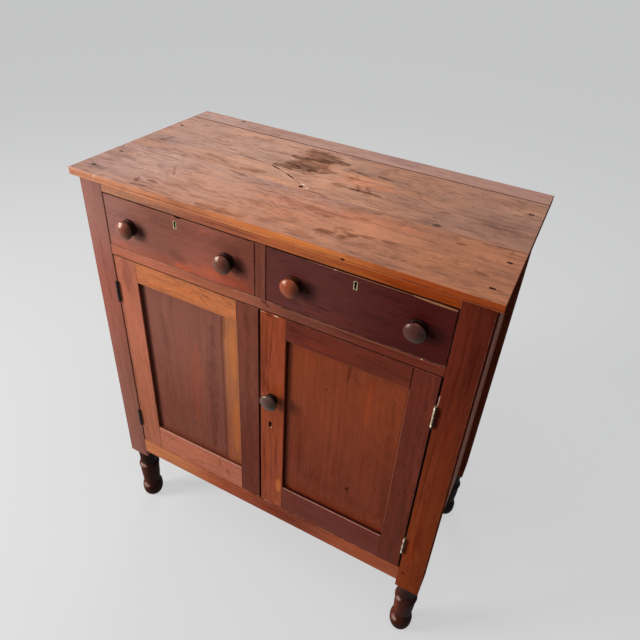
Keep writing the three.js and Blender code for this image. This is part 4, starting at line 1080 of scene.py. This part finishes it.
posts = {
    "front_left_post": {
        "contrast": 0.28, "patina": 0.3, "smoke": 0.15,
        "tones": [(560, "rosewood"), (945, "rose"), (1135, "mauve")],
        # painted highlights on the ring and the bulb
        "footMarks": [
            ("rubbed", (-492, 170, -466, 170, 12, 0.3), (-492, 62, -468, 62, 15, 0.28)),
        ],
        "marks": [
            ("gap", (-443.6, 330, -443.6, 1204, 1.0, 0.8)),
            ("haze", (-479, 1060, -476, 872, 12, 0.35), (-466, 771, -460, 497, 10, 0.3)),
            ("streak", (-490, 700, -488, 560, 4, 0.3)),
        ],
    },
    "front_right_post": {
        "contrast": 0.5, "shine": 0.0, "tones": [(500, "russet"), (1135, "garnet")],
        # painted highlights on the ring and the bulb; the glow strokes paint the window light on the drum's
        # left side
        "footMarks": [
            ("rubbed", (448, 171, 466, 170, 12, 0.4), (446, 64, 466, 60, 16, 0.4)),
            ("glow", (450, 150, 452, 80, 22, 1.0), (450, 150, 452, 80, 16, 0.8)),
        ],
        "marks": [
            ("streak", (470, 1170, 467, 994, 5, 0.35), (452, 1190, 456, 914, 4, 0.3),
                (495, 1145, 494, 1000, 5, 0.4), (458, 860, 453, 552, 4, 0.4),
                (467, 643, 472, 389, 5, 0.5)),
            ("glow", (480, 980, 478, 800, 14, 0.5), (462, 480, 462, 360, 18, 0.5)),
            ("dark", (453, 314, 461, 311, 9, 0.7)), ("nail", (456, 312, 457, 312, 3, 0.9)),
            ("gap", (443.4, 330, 443.4, 1204, 1.0, 0.9)),
            ("dust", (444.5, 978, 444, 950, 1.6, 0.8), (444.5, 430, 444, 424, 1.6, 0.7)),
            ("dark", (450, 940, 450, 880, 5, 0.6)),
        ],
    },
    # footShade paints shade on the back feet, and the back right post's darker tone is partly painted shade
    "back_left_post": {"tones": [(700, (116, 66, 52))], "contrast": 0.5, "footShade": 0.7},
    "back_right_post": {"tones": [(700, (100, 50, 37))], "contrast": 0.5, "shine": 0.0, "footShade": 0.6},
}


def turnedPost(node, look):
    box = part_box(node)
    low, high = box
    build = solidCopy(node)
    everything = build.verts[:] + build.edges[:] + build.faces[:]
    bmesh.ops.bisect_plane(build, geom=everything, dist=0.001 * mm, plane_co=(0, 0, foot["shoulder"] * mm),
                           plane_no=(0, 0, 1), clear_inner=True)
    bmesh.ops.holes_fill(build, edges=[e for e in build.edges if e.is_boundary])
    softenCorners(build, box, foot["squareCorners"], foot["squareRound"])
    line = curve(foot["profile"], foot["steps"])
    line.append((line[-1][0], line[-1][1] + foot["intoSquare"] * mm))
    middle = Matrix.Translation(((low.x + high.x) / 2, (low.y + high.y) / 2, 0))
    for face in turnProfile(build, line, middle):
        face.material_index = 1
    shade = look.get("footShade", 1.0)
    turned = {**look, **foot["finish"], "marks": look.get("footMarks", ())}
    turned["tones"] = [(height, [v * shade for v in tone]) for height, tone in turned["tones"]]
    across = [(low.x / mm + foot["darkStep"] * i, tone) for i, tone in enumerate(foot["darkSide"])]
    turned["across"] = ("x", across)
    finishes = [woodFinish(node + "_wood", look, box), woodFinish(node + "_foot_wood", turned, box)]
    finishPiece(node + "_turned", build, finishes, node, foot["smooth"])


for node, look in boardsOf(posts, 61, grain="z", heart=(25, 40), wear=0.35, wearColor=(176, 116, 90)):
    turnedPost(node, look)
print("cupboard: posts and turned feet")

# the drawer knobs have a collar and a bead behind the disc, the door knob only a thin neck
knobShape = {
    "profile": [
        (8.5, -19.9), (8.5, 0.2), (20.6, 0.3), (21.5, 1.4), (21.5, 3.4), (20.0, 4.8), (17.0, 5.8),
        (13.6, 6.6), (12.6, 9), (12.6, 11.5), (14.8, 14.4), (20.0, 16.4), (23.2, 17.6), (24.2, 19.4),
        (24.1, 21.4), (22.6, 23.6), (18.5, 26.2), (12.5, 28.9), (6, 30.6), (0.4, 31),
    ],
    "steps": 3,
    "smooth": 50,
    "collarTo": 6,
    "tenon": 20,
}
# painted shade: behind the disc, measured from the front, the wood darkens, and across X the knob grows
# darker towards the right, away from the window lamp; the collar has no shine
knobShade = {
    "paleTo": 11.5, "darkFrom": 15, "dark": 0.45, "collarFrom": 13,
    "across": [(255, 255, 255), (228, 222, 220), (132, 126, 126)],
    "collar": {"shine": 0.0, "coat": 0.08},
}
knobLook = {
    "grain": "y", "heart": (2, 3), "rings": 500, "contrast": 0.6, "wear": 0.0, "dirt": 0.0,
    "rough": 0.24, "shine": 0.3, "bump": 0.15,
}
knobs = {
    "left_drawer_left_knob": {"seed": 179, "tone": (132, 72, 56)},
    "left_drawer_right_knob": {"seed": 179, "tone": (104, 56, 46)},
    "right_drawer_left_knob": {"seed": 185, "tone": (138, 66, 38)},
    "right_drawer_right_knob": {"seed": 185, "tone": (70, 32, 31)},
    "door_knob": {"seed": 171, "tone": (80, 60, 54), "collarRadius": 15.0},
}


def turnedKnob(node, look):
    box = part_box(node)
    low, high = box
    middle = (low + high) / 2
    tone, front = look["tone"], low.y / mm
    dark = [v * knobShade["dark"] for v in tone]
    tones = [(front, tone), (front + knobShade["paleTo"], tone), (front + knobShade["darkFrom"], dark)]
    across = [(x / mm, shade) for x, shade in zip((low.x, middle.x, high.x), knobShade["across"])]
    look = {**knobLook, **look, "tones": tones, "across": ("x", across)}
    points = knobShape["profile"]
    if "collarRadius" in look:
        thin, upTo = look["collarRadius"], knobShape["collarTo"]
        points = [(min(r, thin), h) if h < upTo else (r, h) for r, h in points]
    place = Matrix.Translation((middle.x, high.y - knobShape["tenon"] * mm, middle.z))
    turn = Matrix.Rotation(math.radians(90), 4, "X")
    build = bmesh.new()
    for face in turnProfile(build, curve(points, knobShape["steps"]), place @ turn):
        behind = face.calc_center_median().y > low.y + knobShade["collarFrom"] * mm
        face.material_index = 1 if behind else 0
    collar = {**look, **knobShade["collar"]}
    finishes = [woodFinish(node + "_wood", look, box), woodFinish(node + "_collar_wood", collar, box)]
    finishPiece(node + "_turned", build, finishes, node, knobShape["smooth"])


for node, look in knobs.items():
    turnedKnob(node, look)
print("cupboard: knobs")

# the barrels of the brass hinges, from low to high in Z: a painted highlight at both tips, painted shade on
# the right and below;
# each line stands at a place in X and Y
barrels = {
    "spans": ((401.4, 465.4), (883.6, 947.6)),
    "tip": {
        "at": (440.0, -250.8), "fromLow": 9, "fromHigh": 3, "half": 1, "width": 2.6, "color": (246, 226, 206),
    },
    "side": {"at": (444.4, -249.5), "width": 3.2},
    "under": {"at": (441.5, -250.0), "length": 3, "width": 5.5},
}


def barrelShading(look):
    tip, side, under = look["tip"], look["side"], look["under"]
    lines = []
    for low, high in look["spans"]:
        for z in (low + tip["fromLow"], high - tip["fromHigh"]):
            ends = [(*tip["at"], z - tip["half"]), (*tip["at"], z + tip["half"])]
            lines.append((*ends, tip["width"], tip["color"]))
        lines.append(((*side["at"], low), (*side["at"], high), side["width"]))
        lines.append(((*under["at"], low - under["length"]), (*under["at"], low), under["width"]))
    return lines


metals = {
    "oldIron": {"color": (18, 15, 14), "worn": (46, 40, 36), "rough": 0.55, "metal": 0.6},
    "dullBrass": {
        "color": (112, 94, 72), "worn": (206, 186, 152), "metal": 0.5, "blotches": 110.0,
        "grime": barrelShading(barrels),
    },
    "boltSteel": {"color": (120, 116, 106), "worn": (168, 162, 148), "rough": 0.35},
}
metalFinishes = {name: metalFinish(name, look) for name, look in metals.items()}
for node, item in nodes.items():
    # the left hinges take the near-black iron, painted shade: their barrels stand in shadow
    if "hinge_" in node and "leaf" in node:
        dress(item, metalFinishes["oldIron" if node.startswith("left") else "dullBrass"])
dress(nodes["door_lock"], metalFinishes["oldIron"])
dress(nodes["door_lock_bolt"], metalFinishes["boltSteel"])

# a keyhole's brass lining is painted with a black hole, a round eye over a slot, painted shade where the hole
# is; from just in front of the drawer's face backwards it is painted black too, the shade inside the hole
keyhole = {
    "finish": {"color": (150, 128, 92), "worn": (212, 192, 150), "metal": 0.5, "blotches": 300.0},
    "places": {"left": (-226.75, 1185.5), "right": (230.25, 1185.5)},
    "eye": 4.3, "slotFrom": 3, "slotTo": 12.6, "slotWidth": 3.1, "inFront": 0.1,
}
for side, (x, z) in keyhole["places"].items():
    lining = f"{side}_drawer_lock"
    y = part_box(lining)[0].y / mm
    eye = ((x, y, z), (x, y, z), keyhole["eye"])
    slot = ((x, y, z - keyhole["slotFrom"]), (x, y, z - keyhole["slotTo"]), keyhole["slotWidth"])
    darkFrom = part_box(f"{side}_drawer_front")[0].y - keyhole["inFront"] * mm
    look = {**keyhole["finish"], "darkFrom": darkFrom, "grime": [eye, slot]}
    dress(nodes[lining], metalFinish(side + "KeyholeBrass", look))
print("cupboard: hinges and locks")
